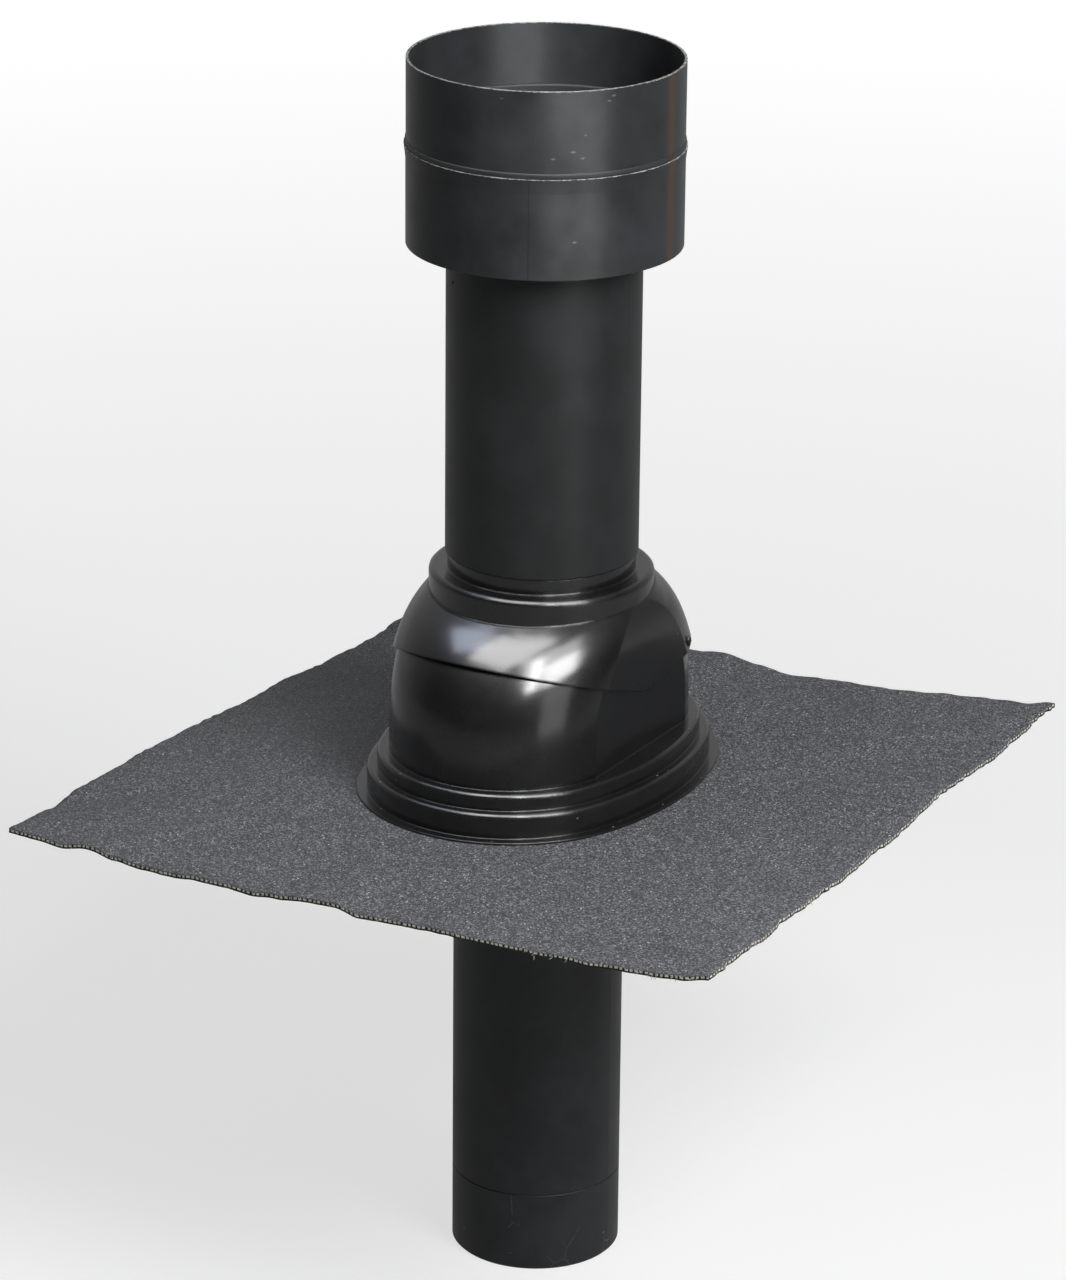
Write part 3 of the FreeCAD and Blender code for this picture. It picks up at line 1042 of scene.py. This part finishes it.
@dataclass
class FeltSheet:
    """The roofing felt that the boot is bonded to: a cut sheet that lies in low waves."""

    body: str = "root"
    top_level: float = 333 * MM
    thickness: float = 4 * MM
    edge_thickness: float = 2.9 * MM
    hole_half_wide: float = 94.5 * MM
    hole_half_long: float = 126.5 * MM
    # Corners of the cut, in order front left, front right, back right, back left.
    corners: tuple[tuple[float, float], ...] = (
        (-242, -245),
        (257, -246),
        (247.5, 248.5),
        (-247, 250),
    )
    # Measured heights: how far each side stands above or below the flat, in millimetres, at even
    # steps from corner to corner.
    front_rise: tuple[float, ...] = (
        *(-8, -9, -10, -6, -9, -11, -11, -9, -8.5, -10, -8, -5, -4),
        *(-7, -5.5, -4.5, -4, -4, -3, -3, -1, -1, 1, 2, 4, 9),
    )
    right_rise: tuple[float, ...] = (
        *(9, 9, 9, 7, 9, 8, 7.5, 6, 6, 8, 6),
        *(8, 11, 13, 11, 10, 8.5, 9, 10, 13, 12),
    )
    back_rise: tuple[float, ...] = (
        *(12, 7, 5, 3, -1, -3, -4.5, -6, -8, -6, -2.5),
        *(-5, -7, -9, -10, -11, -12, -14, -15, -17, -19),
    )
    left_rise: tuple[float, ...] = (
        *(-19, -20, -22, -21, -20, -19, -17, -15, -15, -14.5, -13),
        *(-11, -10, -9, -8, -9, -8, -7.5, -11, -9, -8),
    )
    # How far the knife wavered on each side, in millimetres.
    cut_waver: tuple[float, ...] = (0.7, 1.5, 0.7, 1.5)
    # The waves die out towards the boot, from this share of the way between hole and edge.
    flat_share: float = 0.06
    wave_power: float = 1.7
    ripple_mm: float = 1.6
    fine_ripple_mm: float = 0.5
    # The hole's area is roughly this times its half width times its half length.
    hole_factor: float = 3.304
    steps_round: int = 720
    steps_out: int = 42
    crowding: float = 0.9
    squeezed_steps: int = 3
    fray_count: int = 90

    def side_line(self, side: int) -> tuple[Vector, Vector, Vector]:
        """Finds one side of the cut.

        Args:
            side: which side, 0 to 3 from the front.

        Returns:
            Its start and its end in millimetres, and the way that it faces.
        """
        start = Vector((*self.corners[side], 0))
        end = Vector((*self.corners[(side + 1) % 4], 0))
        return start, end, (end - start).cross(UP).normalized()

    def side_point(self, turn: float) -> tuple[Vector, float, int]:
        """Finds a place on the sheet's outline.

        Args:
            turn: way round the outline from the front left corner, 0 to 4.

        Returns:
            The place in metres, how far it rises in metres, and which side it is on.
        """
        side = int(turn) % 4
        share = turn - int(turn)
        rises = (self.front_rise, self.right_rise, self.back_rise, self.left_rise)[side]
        start, end, outward = self.side_line(side)
        spot = share * (len(rises) - 1)
        first = min(int(spot), len(rises) - 2)
        part = spot - first
        eased = part * part * (3 - 2 * part)
        rise = rises[first] + (rises[first + 1] - rises[first]) * eased
        along = start.lerp(end, share)
        waver = noise.noise(along * 0.16 + Vector((0, 0, 7))) * self.cut_waver[side]
        return (along + outward * waver) * MM, rise * MM, side

    def hole_point(self, outer: Vector) -> Vector:
        """Finds the hole's edge on the line from the middle to a place.

        Args:
            outer: a place outside the hole, in metres.

        Returns:
            The place on the hole's edge.
        """
        return outer / oval_reach(outer, self.hole_half_wide, self.hole_half_long)

    def upper_side(self) -> tuple[list[Vector], list[float]]:
        """Lays out the top of the sheet, from the hole to the cut edge, all the way round.

        Returns:
            The top's places in metres, and how far round each line of them is in millimetres.
        """
        top: list[Vector] = []
        ways: list[float] = []
        length = 0.0
        before = self.side_point(0)[0]
        for i in range(self.steps_round):
            outer, rise, _ = self.side_point(4 * i / self.steps_round)
            inner = self.hole_point(outer)
            length += (outer - before).length
            before = outer
            ways.append(length / MM)
            for j in range(self.steps_out + 1):
                share = (j / self.steps_out) ** self.crowding
                flat = inner.lerp(outer, share)
                waved = max(0.0, (share - self.flat_share) / (1 - self.flat_share))
                lift = rise * waved**self.wave_power
                ripple = noise.noise(flat * 21) * self.ripple_mm * MM * share * share
                ripple *= 1 - 0.4 * share
                fine = noise.noise(flat * 75 + Vector((3, 0, 0))) * self.fine_ripple_mm * MM * share
                top.append(Vector((flat.x, flat.y, self.top_level + lift + ripple + fine)))
        return top, ways

    def lower_side(self, top: list[Vector]) -> list[Vector]:
        """Lays out the underside.

        Args:
            top: the top's places in metres.

        Returns:
            The underside's places, in the same order.
        """
        # The knife squeezes the sheet, so it thins over the last few rows of the mesh.
        under: list[Vector] = []
        for number, spot in enumerate(top):
            step = number % (self.steps_out + 1) - self.steps_out + self.squeezed_steps
            squeezed = max(0.0, step / self.squeezed_steps)
            thick = self.thickness + (self.edge_thickness - self.thickness) * squeezed
            under.append(spot - Vector((0, 0, thick)))
        return under

    def skin(self) -> tuple[list[tuple[int, ...]], list[int]]:
        """Lists the faces of the top, the underside and the cut sides.

        Returns:
            The faces, and the slot of each.
        """
        grit, side, sand = 0, 1, 2
        rows = self.steps_out + 1
        count = rows * self.steps_round
        faces: list[tuple[int, ...]] = []
        slots: list[int] = []
        for i in range(self.steps_round):
            line, after = i * rows, (i + 1) % self.steps_round * rows
            for j in range(self.steps_out):
                a, b, c, d = line + j, line + j + 1, after + j + 1, after + j
                faces += [(a, b, c, d), (count + d, count + c, count + b, count + a)]
                slots += [grit, sand]
            rim, rim_after = line + self.steps_out, after + self.steps_out
            faces += [
                (rim, count + rim, count + rim_after, rim_after),
                (line, after, count + after, count + line),
            ]
            slots += [side, side]
        return faces, slots

    def unwrap(self, sheet: bpy.types.Object, ways: list[float]) -> None:
        """Gives each corner how far round the sheet it is, and 0 on the top or 1 on the underside.

        Args:
            sheet: the sheet.
            ways: how far round each line of places is in millimetres.
        """
        rows = self.steps_out + 1
        count = rows * self.steps_round
        lay = sheet.data.uv_layers.new(name="lay")
        for poly in sheet.data.polygons:
            lines = [vertex % count // rows for vertex in poly.vertices]
            # The last faces run on past the end of the round, and not back to its start.
            closes = 0 in lines and self.steps_round - 1 in lines
            for corner, vertex, line in zip(poly.loop_indices, poly.vertices, lines):
                way = ways[line] + (ways[-1] if closes and line == 0 else 0.0)
                lay.data[corner].uv = (way, 1.0 if vertex >= count else 0.0)

    def build(self) -> bpy.types.Object:
        """Builds the sheet as a thin closed form with a hole.

        Returns:
            The sheet.
        """
        top, ways = self.upper_side()
        faces, slots = self.skin()
        sheet = mesh_piece("felt_sheet", top + self.lower_side(top), faces)
        sheet.data.polygons.foreach_set("material_index", slots)
        self.unwrap(sheet, ways)
        for poly in sheet.data.polygons:
            poly.use_smooth = slots[poly.index] != 1
        return sheet

    def fray(self) -> bpy.types.Object:
        """Builds the glass yarn ends that stand out of the cut sides.

        Returns:
            The yarn ends as one piece.
        """
        pick = random.Random(SEED)
        points: list[Vector] = []
        faces: list[tuple[int, ...]] = []
        for _ in range(self.fray_count):
            turn = pick.choice((pick.uniform(0.9, 1.3), pick.uniform(0, 2), pick.uniform(0, 4)))
            root, rise, side = self.side_point(turn)
            start, end, out = self.side_line(side)
            along = (end - start).normalized()
            level = self.top_level + rise - pick.uniform(1.2, 2.6) * MM
            base = root + Vector((0, 0, level)) - out * 0.8 * MM
            aside = along * pick.uniform(-0.8, 0.8)
            lean = (out + aside + Vector((0, 0, pick.uniform(-0.5, 0.25)))).normalized()
            long = pick.uniform(1.2, 3.6) * MM
            wide = pick.uniform(0.18, 0.4) * MM
            across = lean.cross(UP).normalized() * wide
            thick = Vector((0, 0, wide * 0.8))
            first = len(points)
            for share in (0.0, 0.5, 1.0):
                spot = base + lean * long * share + Vector((0, 0, -long * 0.25 * share * share))
                slim = 1.0 - 0.6 * share
                points += [spot + across * slim, spot + thick * slim, spot - across * slim]
            for k in range(2):
                a = first + 3 * k
                faces += [
                    (a, a + 1, a + 4, a + 3),
                    (a + 1, a + 2, a + 5, a + 4),
                    (a + 2, a, a + 3, a + 5),
                ]
            faces += [(first + 2, first + 1, first), (first + 6, first + 7, first + 8)]
        return mesh_piece("felt_yarn_ends", points, faces, Rough.FACETED)

    def make(self) -> list[bpy.types.Object]:
        """Builds and dresses the felt.

        Returns:
            The pieces made.
        """
        sheet = self.build()
        dress(
            sheet,
            SlateGranules("Slate granules pressed in bitumen").material(),
            CutFelt("Knife-cut bitumen felt with glass mesh").material(),
            SandedBitumen("Sanded bitumen underside").material(),
        )
        yarns = self.fray()
        dress(yarns, PlainGrain("Cut glass yarn").material())
        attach(sheet, self.body)
        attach(yarns, self.body)
        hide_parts("felt_flange")
        return [sheet, yarns]


@dataclass
class FlashingBoot:
    """The moulded boot: a stepped base, a hood over it, and one tack weld between them."""

    nodes: dict[str, bpy.types.Object]
    body: str = "root"
    weld_spot: tuple[float, float, float] = (76.0, 57.0, 416.5)
    weld_size: float = 2.1 * MM
    crumb_count: int = 26
    # Where crumbs lie: how far inside the base's outline, and at which level, in millimetres.
    ledges: tuple[tuple[float, float], ...] = (
        (0.2, 334.6),
        (6.4, 334.6),
        (6.6, 350.5),
        (12.9, 361.0),
    )

    def tack_weld(self) -> bpy.types.Object:
        """Builds the rough nub of melted plastic that holds the hood's skirt.

        Returns:
            The nub.
        """
        points: list[Vector] = []
        faces: list[tuple[int, ...]] = []
        rings, sides = 10, 16
        middle = Vector(self.weld_spot) * MM
        for i in range(rings + 1):
            tilt = math.pi * i / rings
            for k in range(sides):
                turn = 2 * math.pi * k / sides
                out = math.sin(tilt)
                ray = Vector((out * math.cos(turn), out * math.sin(turn), math.cos(tilt)))
                lump = 1 + 0.55 * noise.noise(ray * 1.9 + Vector((5, 1, 2)))
                form = Vector((ray.x * 0.7, ray.y * 0.9, ray.z * 1.5))
                points.append(middle + form * self.weld_size * lump)
        for i in range(rings):
            for k in range(sides):
                a, b = i * sides + k, i * sides + (k + 1) % sides
                faces.append((a, a + sides, b + sides, b))
        return mesh_piece("hood_tack_weld", points, faces)

    def crumbs(self) -> bpy.types.Object:
        """Builds slate crumbs that have fallen on the base's ledges.

        Returns:
            The crumbs as one piece.
        """
        pick = random.Random(SEED + 1)
        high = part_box("boot_base")[1]
        points: list[Vector] = []
        faces: list[tuple[int, ...]] = []
        for _ in range(self.crumb_count):
            inset, level = pick.choice(self.ledges)
            turn = pick.uniform(0, 2 * math.pi)
            shift = inset + pick.uniform(1.0, 4.5)
            ray = Vector((math.cos(turn), math.sin(turn), 0))
            reach = oval_reach(ray, high.x - shift * MM, high.y - shift * MM)
            size = pick.uniform(0.35, 0.7) * MM
            spot = ray / reach + Vector((0, 0, level * MM + size * 0.5))
            first = len(points)
            tip = [pick.uniform(0.6, 1.2) * size for _ in range(6)]
            points += [
                spot + Vector((tip[0], 0, 0)),
                spot + Vector((0, tip[1], 0)),
                spot - Vector((tip[2], 0, 0)),
                spot - Vector((0, tip[3], 0)),
                spot + Vector((0, 0, tip[4] * 0.7)),
                spot - Vector((0, 0, min(tip[5], size) * 0.5)),
            ]
            for k in range(4):
                a, b = first + k, first + (k + 1) % 4
                faces += [(a, b, first + 4), (b, a, first + 5)]
        return mesh_piece("slate_crumbs", points, faces, Rough.FACETED)

    def make(self) -> list[bpy.types.Object]:
        """Dresses the boot and adds its weld and crumbs.

        Returns:
            The pieces made.
        """
        moulded = MouldedPlastic("Injection-moulded black PVC").material()
        dress(self.nodes["boot_base"], moulded)
        dress(self.nodes["boot_hood"], moulded)
        weld = self.tack_weld()
        melted = PlainGrain(
            "Melted and set black PVC",
            "#0c0c0c",
            "#1c1b1a",
            grain_mm=1.2,
            roughness=0.45,
            specular=0.5,
        )
        dress(weld, melted.material())
        crumbs = self.crumbs()
        slate = PlainGrain("Loose slate crumb", "#8b8177", "#b9b4aa", grain_mm=0.5)
        dress(crumbs, slate.material())
        for piece in (weld, crumbs):
            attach(piece, self.body)
        return [weld, crumbs]


@dataclass
class VentPipe:
    """The vent pipe with its spigot end and the sleeve over its upper part."""

    nodes: dict[str, bpy.types.Object]
    body: str = "root"
    pipe_radius: float = 55 * MM
    mark_turn: float = -70.9
    mark_level: float = 99 * MM
    mark_radius: float = 8 * MM
    line_width: float = 0.35 * MM
    sleeve_radius: float = 61.25 * MM
    weep_turn: float = -127.0
    weep_level: float = 664 * MM
    weep_radius: float = 1 * MM
    # Each knock is its turn in degrees, its level in millimetres and its size in millimetres.
    end_scuffs: tuple[tuple[float, float, float], ...] = (
        (-118, 17, 1.3),
        (-5, 16, 1.2),
        (-77, 11, 0.5),
    )

    def wrapped(
        self, name: str, path: list[tuple[float, float]], width: float, proud: float, closed: bool
    ) -> bpy.types.Object:
        """Lays a thin raised line on the pipe's wall.

        Args:
            name: piece name.
            path: places as distance round the wall and level, in metres.
            width: half the line's width in metres.
            proud: how far it stands out of the wall in metres.
            closed: whether the line ends where it starts.

        Returns:
            The line.
        """
        points: list[Vector] = []
        faces: list[tuple[int, ...]] = []
        count = len(path)
        for i, (arc, level) in enumerate(path):
            last = path[i - 1] if closed or i else path[i]
            following = path[(i + 1) % count] if closed or i < count - 1 else path[i]
            way = Vector((following[0] - last[0], following[1] - last[1], 0)).normalized()
            side = Vector((-way.y, way.x, 0)) * width
            for offset, out in ((-1, -0.0001), (0, proud), (1, -0.0001)):
                turn = (arc + side.x * offset) / self.pipe_radius
                reach = self.pipe_radius + out
                rise = level + side.y * offset
                points.append(Vector((reach * math.cos(turn), reach * math.sin(turn), rise)))
        for i in range(count if closed else count - 1):
            a, b = 3 * i, 3 * ((i + 1) % count)
            faces += [(a, b, b + 1, a + 1), (a + 1, b + 1, b + 2, a + 2)]
        return mesh_piece(name, points, faces)

    def mould_mark(self) -> bpy.types.Object:
        """Builds the plain round mark that a mould's ejector leaves.

        Returns:
            The mark.
        """
        middle = math.radians(self.mark_turn) * self.pipe_radius
        steps = 72
        path = []
        for i in range(steps):
            turn = math.tau * i / steps
            along = middle + self.mark_radius * math.cos(turn)
            path.append((along, self.mark_level + self.mark_radius * math.sin(turn)))
        return self.wrapped("pipe_round_mark", path, self.line_width, 0.12 * MM, closed=True)

    def flow_line(self) -> bpy.types.Object:
        """Builds the faint wavering line where two streams of plastic met.

        Returns:
            The line.
        """
        start = math.radians(self.mark_turn - 3.3) * self.pipe_radius
        steps = 60
        path = []
        for i in range(steps + 1):
            share = i / steps
            waver = noise.noise(Vector((share * 6, 3.1, 0))) * 2.2 * MM
            level = self.mark_level - 33 * MM + share * 1 * MM + waver
            path.append((start + share * 61 * MM, level))
        return self.wrapped("pipe_flow_line", path, 0.22 * MM, 0.08 * MM, closed=False)

    def weep_shade_disc(self) -> bpy.types.Object:
        """Builds a near-black disc on the sleeve: painted shade that stands for the dark mouth of a
        small hole that lets water out of the sleeve.

        Returns:
            The disc of painted shade.
        """
        points: list[Vector] = []
        faces: list[tuple[int, ...]] = []
        # Painted shade: a near-black disc laid just proud of the wall stands for the shade inside the
        # hole's mouth.
        sides = 24
        for i in range(sides):
            turn = math.tau * i / sides
            for share, out in ((1.0, 0.03 * MM), (0.75, 0.06 * MM)):
                reach = self.weep_radius * share
                around = math.radians(self.weep_turn) + reach * math.cos(turn) / self.sleeve_radius
                spoke = Vector((math.cos(around), math.sin(around), 0)) * (self.sleeve_radius + out)
                points.append(spoke + UP * (self.weep_level + reach * math.sin(turn)))
            after = (i + 1) % sides
            faces.append((2 * i, 2 * after, 2 * after + 1, 2 * i + 1))
        faces.append(tuple(2 * i + 1 for i in range(sides)))
        return mesh_piece("sleeve_weep_painted_shade", points, faces)

    def make(self) -> list[bpy.types.Object]:
        """Dresses the pipes and adds the marks and the painted shade of the weep hole.

        Returns:
            The pieces made.
        """
        pipe = ExtrudedPlastic("Extruded black pipe PVC").material()
        sleeve = ExtrudedPlastic(
            "Extruded black sleeve PVC", colour="#1e1f20", worn_colour="#2a2c2d", roughness=0.43
        ).material()
        dress(self.nodes["vent_pipe"], pipe)
        knocked = ExtrudedPlastic(
            "Extruded black pipe PVC, knocked", scuffs=self.end_scuffs, scratch_level=1.0
        )
        dress(self.nodes["pipe_spigot"], knocked.material())
        dress(self.nodes["outer_sleeve"], sleeve)
        marks = [self.mould_mark(), self.flow_line()]
        for mark in marks:
            dress(mark, pipe)
            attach(mark, self.body)
        weep_shade = self.weep_shade_disc()
        # Near-black and matt with no shine, so that the disc shows as painted shade of the hole.
        dark = PlainGrain("Shadowed hole in PVC", "#020202", "#050505", roughness=0.9, specular=0.0)
        dress(weep_shade, dark.material())
        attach(weep_shade, self.body)
        return [*marks, weep_shade]


@dataclass
class Cowl:
    """The two rolled rings and the spider that carries them over the pipe's mouth."""

    nodes: dict[str, bpy.types.Object]
    rim_level: float = 801.2
    step_level: float = 747.2
    upper_scuffs: tuple[tuple[float, float, float], ...] = (
        (-32, 797, 1.2),
        (-34, 794, 0.9),
        (-44, 774, 0.6),
        (-49, 764, 1.5),
        (-57, 760, 1.2),
        (-45, 760, 1.1),
        (-78, 796, 0.7),
    )
    lower_scuffs: tuple[tuple[float, float, float], ...] = ((-48, 708, 1.1),)

    def make(self) -> None:
        """Dresses the rings, the spider and the deflector."""
        upper = RolledSheetPlastic(
            "Rolled black polyethylene sheet",
            sawn_levels=(self.rim_level,),
            scuffs=self.upper_scuffs,
        ).material()
        lower = RolledSheetPlastic(
            "Rolled and welded black polyethylene sheet",
            sawn_levels=(self.step_level,),
            scuffs=self.lower_scuffs,
            seam=True,
        ).material()
        satin = MouldedPlastic(
            "Injection-moulded satin black polypropylene",
            colour="#2b2c2d",
            worn_colour="#373a3c",
            roughness=0.42,
            smudge_roughness=0.55,
            ior=1.49,
            specular=0.4,
            skin=0.0,
            dust_share=0.01,
        ).material()
        dress(self.nodes["cowl_upper_ring"], upper)
        dress(self.nodes["cowl_lower_ring"], lower)
        dress(self.nodes["cowl_spider"], satin)
        dress(self.nodes["rain_deflector"], satin)


# ---------------------------------------------------------------- studio


@dataclass
class Lamp:
    """One soft box, placed by where it stands as the camera sees the part."""

    name: str
    turn: float
    height: float
    distance: float
    wide: float
    tall: float
    power: float
    colour: str = "#ffffff"
    gleam_only: bool = False


@dataclass
class Studio:
    """Floor, light and camera."""

    camera_ground: float = 3.10172
    camera_level: float = 1.59413
    camera_turn: float = 30.0
    aim_turn: float = 0.0922
    aim_down: float = 20.732
    roll: float = 0.533
    lens: float = 146.6
    sensor: float = 36.0
    floor_half: float = 9.0
    target_level: float = 0.42
    ambient: float = 0.075
    # The lamps fade over the floor, so between the two reaches it is lifted from near to far.
    lift_reaches: tuple[float, float] = (0.8, 3.6)
    lifts: tuple[float, float] = (0.68, 1.0)
    floor_in_gloss: float = 0.27
    # What gloss sees of the room: dark in front of the part, and the lit backdrop behind it.
    room_in_gloss: tuple[float, float] = (0.08, 0.5)
    lamps: tuple[Lamp, ...] = (
        Lamp("front_soft_box", 36, 40, 1.9, 0.8, 0.8, 32),
        Lamp("low_gleam", 36, 5, 2.0, 0.85, 1.1, 6, gleam_only=True),
        Lamp("front_gleam", 26, 50, 1.9, 1.2, 1.4, 52, gleam_only=True),
        Lamp("slot_gleam", 11, 45, 1.9, 0.22, 1.2, 22, gleam_only=True),
        Lamp("top_gleam", -50, 74, 1.8, 1.0, 1.1, 48, gleam_only=True),
        Lamp("left_gleam", -108, 60, 2.2, 0.8, 0.7, 15, "#dfe8ff", gleam_only=True),
    )

    @staticmethod
    def looked_at(tree: bpy.types.NodeTree, path: bpy.types.Node) -> bpy.types.NodeSocket:
        """Makes the mask of what the camera sees, straight or through something clear.

        Args:
            tree: the node tree.
            path: its light path node.

        Returns:
            The mask.
        """
        seen = add(
            tree,
            "Math",
            {"operation": "MAXIMUM"},
            i0=path.outputs["Is Camera Ray"],
            i1=path.outputs["Is Transmission Ray"],
        )
        return seen.outputs[0]

    def facing(self) -> Matrix:
        """Gives the turn from the camera's ground direction to the part's frame."""
        return Matrix.Rotation(math.radians(self.camera_turn), 3, "Z")

    def camera(self) -> None:
        """Places the camera."""
        data = bpy.data.cameras.new("studio_camera")
        data.lens = self.lens
        data.sensor_width = self.sensor
        data.sensor_fit = "AUTO"
        data.clip_end = 60
        body = bpy.data.objects.new("studio_camera", data)
        place = self.facing() @ Vector((0, -self.camera_ground, self.camera_level))
        turn = (
            Matrix.Rotation(math.radians(self.camera_turn + self.aim_turn), 3, "Z")
            @ Matrix.Rotation(math.radians(90 - self.aim_down), 3, "X")
            @ Matrix.Rotation(math.radians(self.roll), 3, "Z")
        )
        body.matrix_world = Matrix.Translation(place) @ turn.to_4x4()
        bpy.context.scene.collection.objects.link(body)
        bpy.context.scene.camera = body

    def light(self) -> None:
        """Hangs the soft boxes."""
        target = Vector((0, 0, self.target_level))
        for lamp in self.lamps:
            data = bpy.data.lights.new(lamp.name, "AREA")
            data.shape = "RECTANGLE"
            data.size = lamp.wide
            data.size_y = lamp.tall
            data.energy = lamp.power
            data.color = linear(lamp.colour)[:3]
            turn, height = math.radians(lamp.turn), math.radians(lamp.height)
            way = self.facing() @ Vector(
                (
                    math.sin(turn) * math.cos(height),
                    -math.cos(turn) * math.cos(height),
                    math.sin(height),
                )
            )
            body = bpy.data.objects.new(lamp.name, data)
            body.location = target + way * lamp.distance
            body.rotation_euler = way.to_track_quat("Z", "Y").to_euler()
            body.visible_camera = False
            body.visible_diffuse = not lamp.gleam_only
            bpy.context.scene.collection.objects.link(body)

    def floor(self) -> bpy.types.Object:
        """Lays the pale floor, which looks white but keeps the part's shadow.

        Returns:
            The floor.
        """
        half = self.floor_half
        corners = [
            Vector((x * half, y * half, 0)) for x, y in ((-1, -1), (1, -1), (1, 1), (-1, 1))
        ]
        floor = mesh_piece("studio_floor", corners, [(0, 1, 2, 3)])
        material = bpy.data.materials.new("Matt white card")
        material.use_nodes = True
        tree = material.node_tree
        tree.nodes.clear()
        path = add(tree, "LightPath")
        place = add(tree, "TexCoord").outputs["Object"]
        far = add(tree, "VectorMath", {"operation": "LENGTH"}, i0=place)
        near, out = self.lift_reaches
        least, most = self.lifts
        lift = add(tree, "MapRange", {1: near, 2: out, 3: least, 4: most}, Value=far.outputs[1])
        shown = self.looked_at(tree, path)
        seen = add(tree, "Math", {"operation": "MULTIPLY"}, i0=shown, i1=lift.outputs[0])
        glossy = add(
            tree,
            "Math",
            {"operation": "MULTIPLY_ADD", 1: self.floor_in_gloss},
            i0=path.outputs["Is Glossy Ray"],
            i2=seen.outputs[0],
        )
        card = add(tree, "BsdfDiffuse", {"Color": linear("#acacac")})
        glow = add(tree, "Emission", {"Color": WHITE}, Strength=glossy.outputs[0])
        both = add(tree, "AddShader", i0=card.outputs[0], i1=glow.outputs[0])
        # From below, the floor is clear, so the underside can be looked at.
        below = add(tree, "NewGeometry").outputs["Backfacing"]
        clear = add(tree, "BsdfTransparent")
        sided = add(tree, "MixShader", i0=below, i1=both.outputs[0], i2=clear.outputs[0])
        add(tree, "OutputMaterial", Surface=sided.outputs[0])
        dress(floor, material)
        return floor

    def world(self) -> None:
        """Fills the room with plain light and shows a white background."""
        world = bpy.data.worlds.new("studio_world")
        bpy.context.scene.world = world
        world.use_nodes = True
        tree = world.node_tree
        tree.nodes.clear()
        path = add(tree, "LightPath")
        way = add(tree, "TexCoord").outputs["Generated"]
        behind = self.facing() @ Vector((0, 1, 0))
        back = add(tree, "VectorMath", {"operation": "DOT_PRODUCT", 1: tuple(behind)}, i0=way)
        dark, lit = self.room_in_gloss
        room = add(tree, "MapRange", {1: -0.1, 2: 0.9, 3: dark, 4: lit}, Value=back.outputs[1])
        gloss = add(tree, "Background", {"Color": WHITE}, Strength=room.outputs[0])
        plain = add(tree, "Background", {"Color": (0.97, 0.985, 1.0, 1), "Strength": self.ambient})
        white = add(tree, "Background", {"Color": WHITE, "Strength": 1.0})
        shiny = path.outputs["Is Glossy Ray"]
        first = add(tree, "MixShader", i0=shiny, i1=plain.outputs[0], i2=gloss.outputs[0])
        shown = self.looked_at(tree, path)
        both = add(tree, "MixShader", i0=shown, i1=first.outputs[0], i2=white.outputs[0])
        add(tree, "OutputWorld", Surface=both.outputs[0])

    def make(self) -> None:
        """Sets up the whole studio."""
        self.floor()
        self.world()
        self.light()
        self.camera()
        bpy.context.scene.view_settings.view_transform = "Standard"


def clear_scene() -> None:
    """Removes what a new Blender file holds."""
    for thing in list(bpy.data.objects):
        bpy.data.objects.remove(thing)


def main() -> None:
    """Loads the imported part, dresses each sub-assembly and sets up the studio."""
    logging.basicConfig(level=logging.INFO, format="%(name)s: %(message)s")
    clear_scene()
    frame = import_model()
    nodes = frame["nodes"]
    pieces = FeltSheet().make() + FlashingBoot(nodes).make() + VentPipe(nodes).make()
    for piece in pieces:
        LOG.info("made %s with %d faces", piece.name, len(piece.data.polygons))
    Cowl(nodes).make()
    LOG.info("dressed %s", ", ".join(sorted(nodes)))
    Studio().make()


if __name__ == "__main__":
    main()
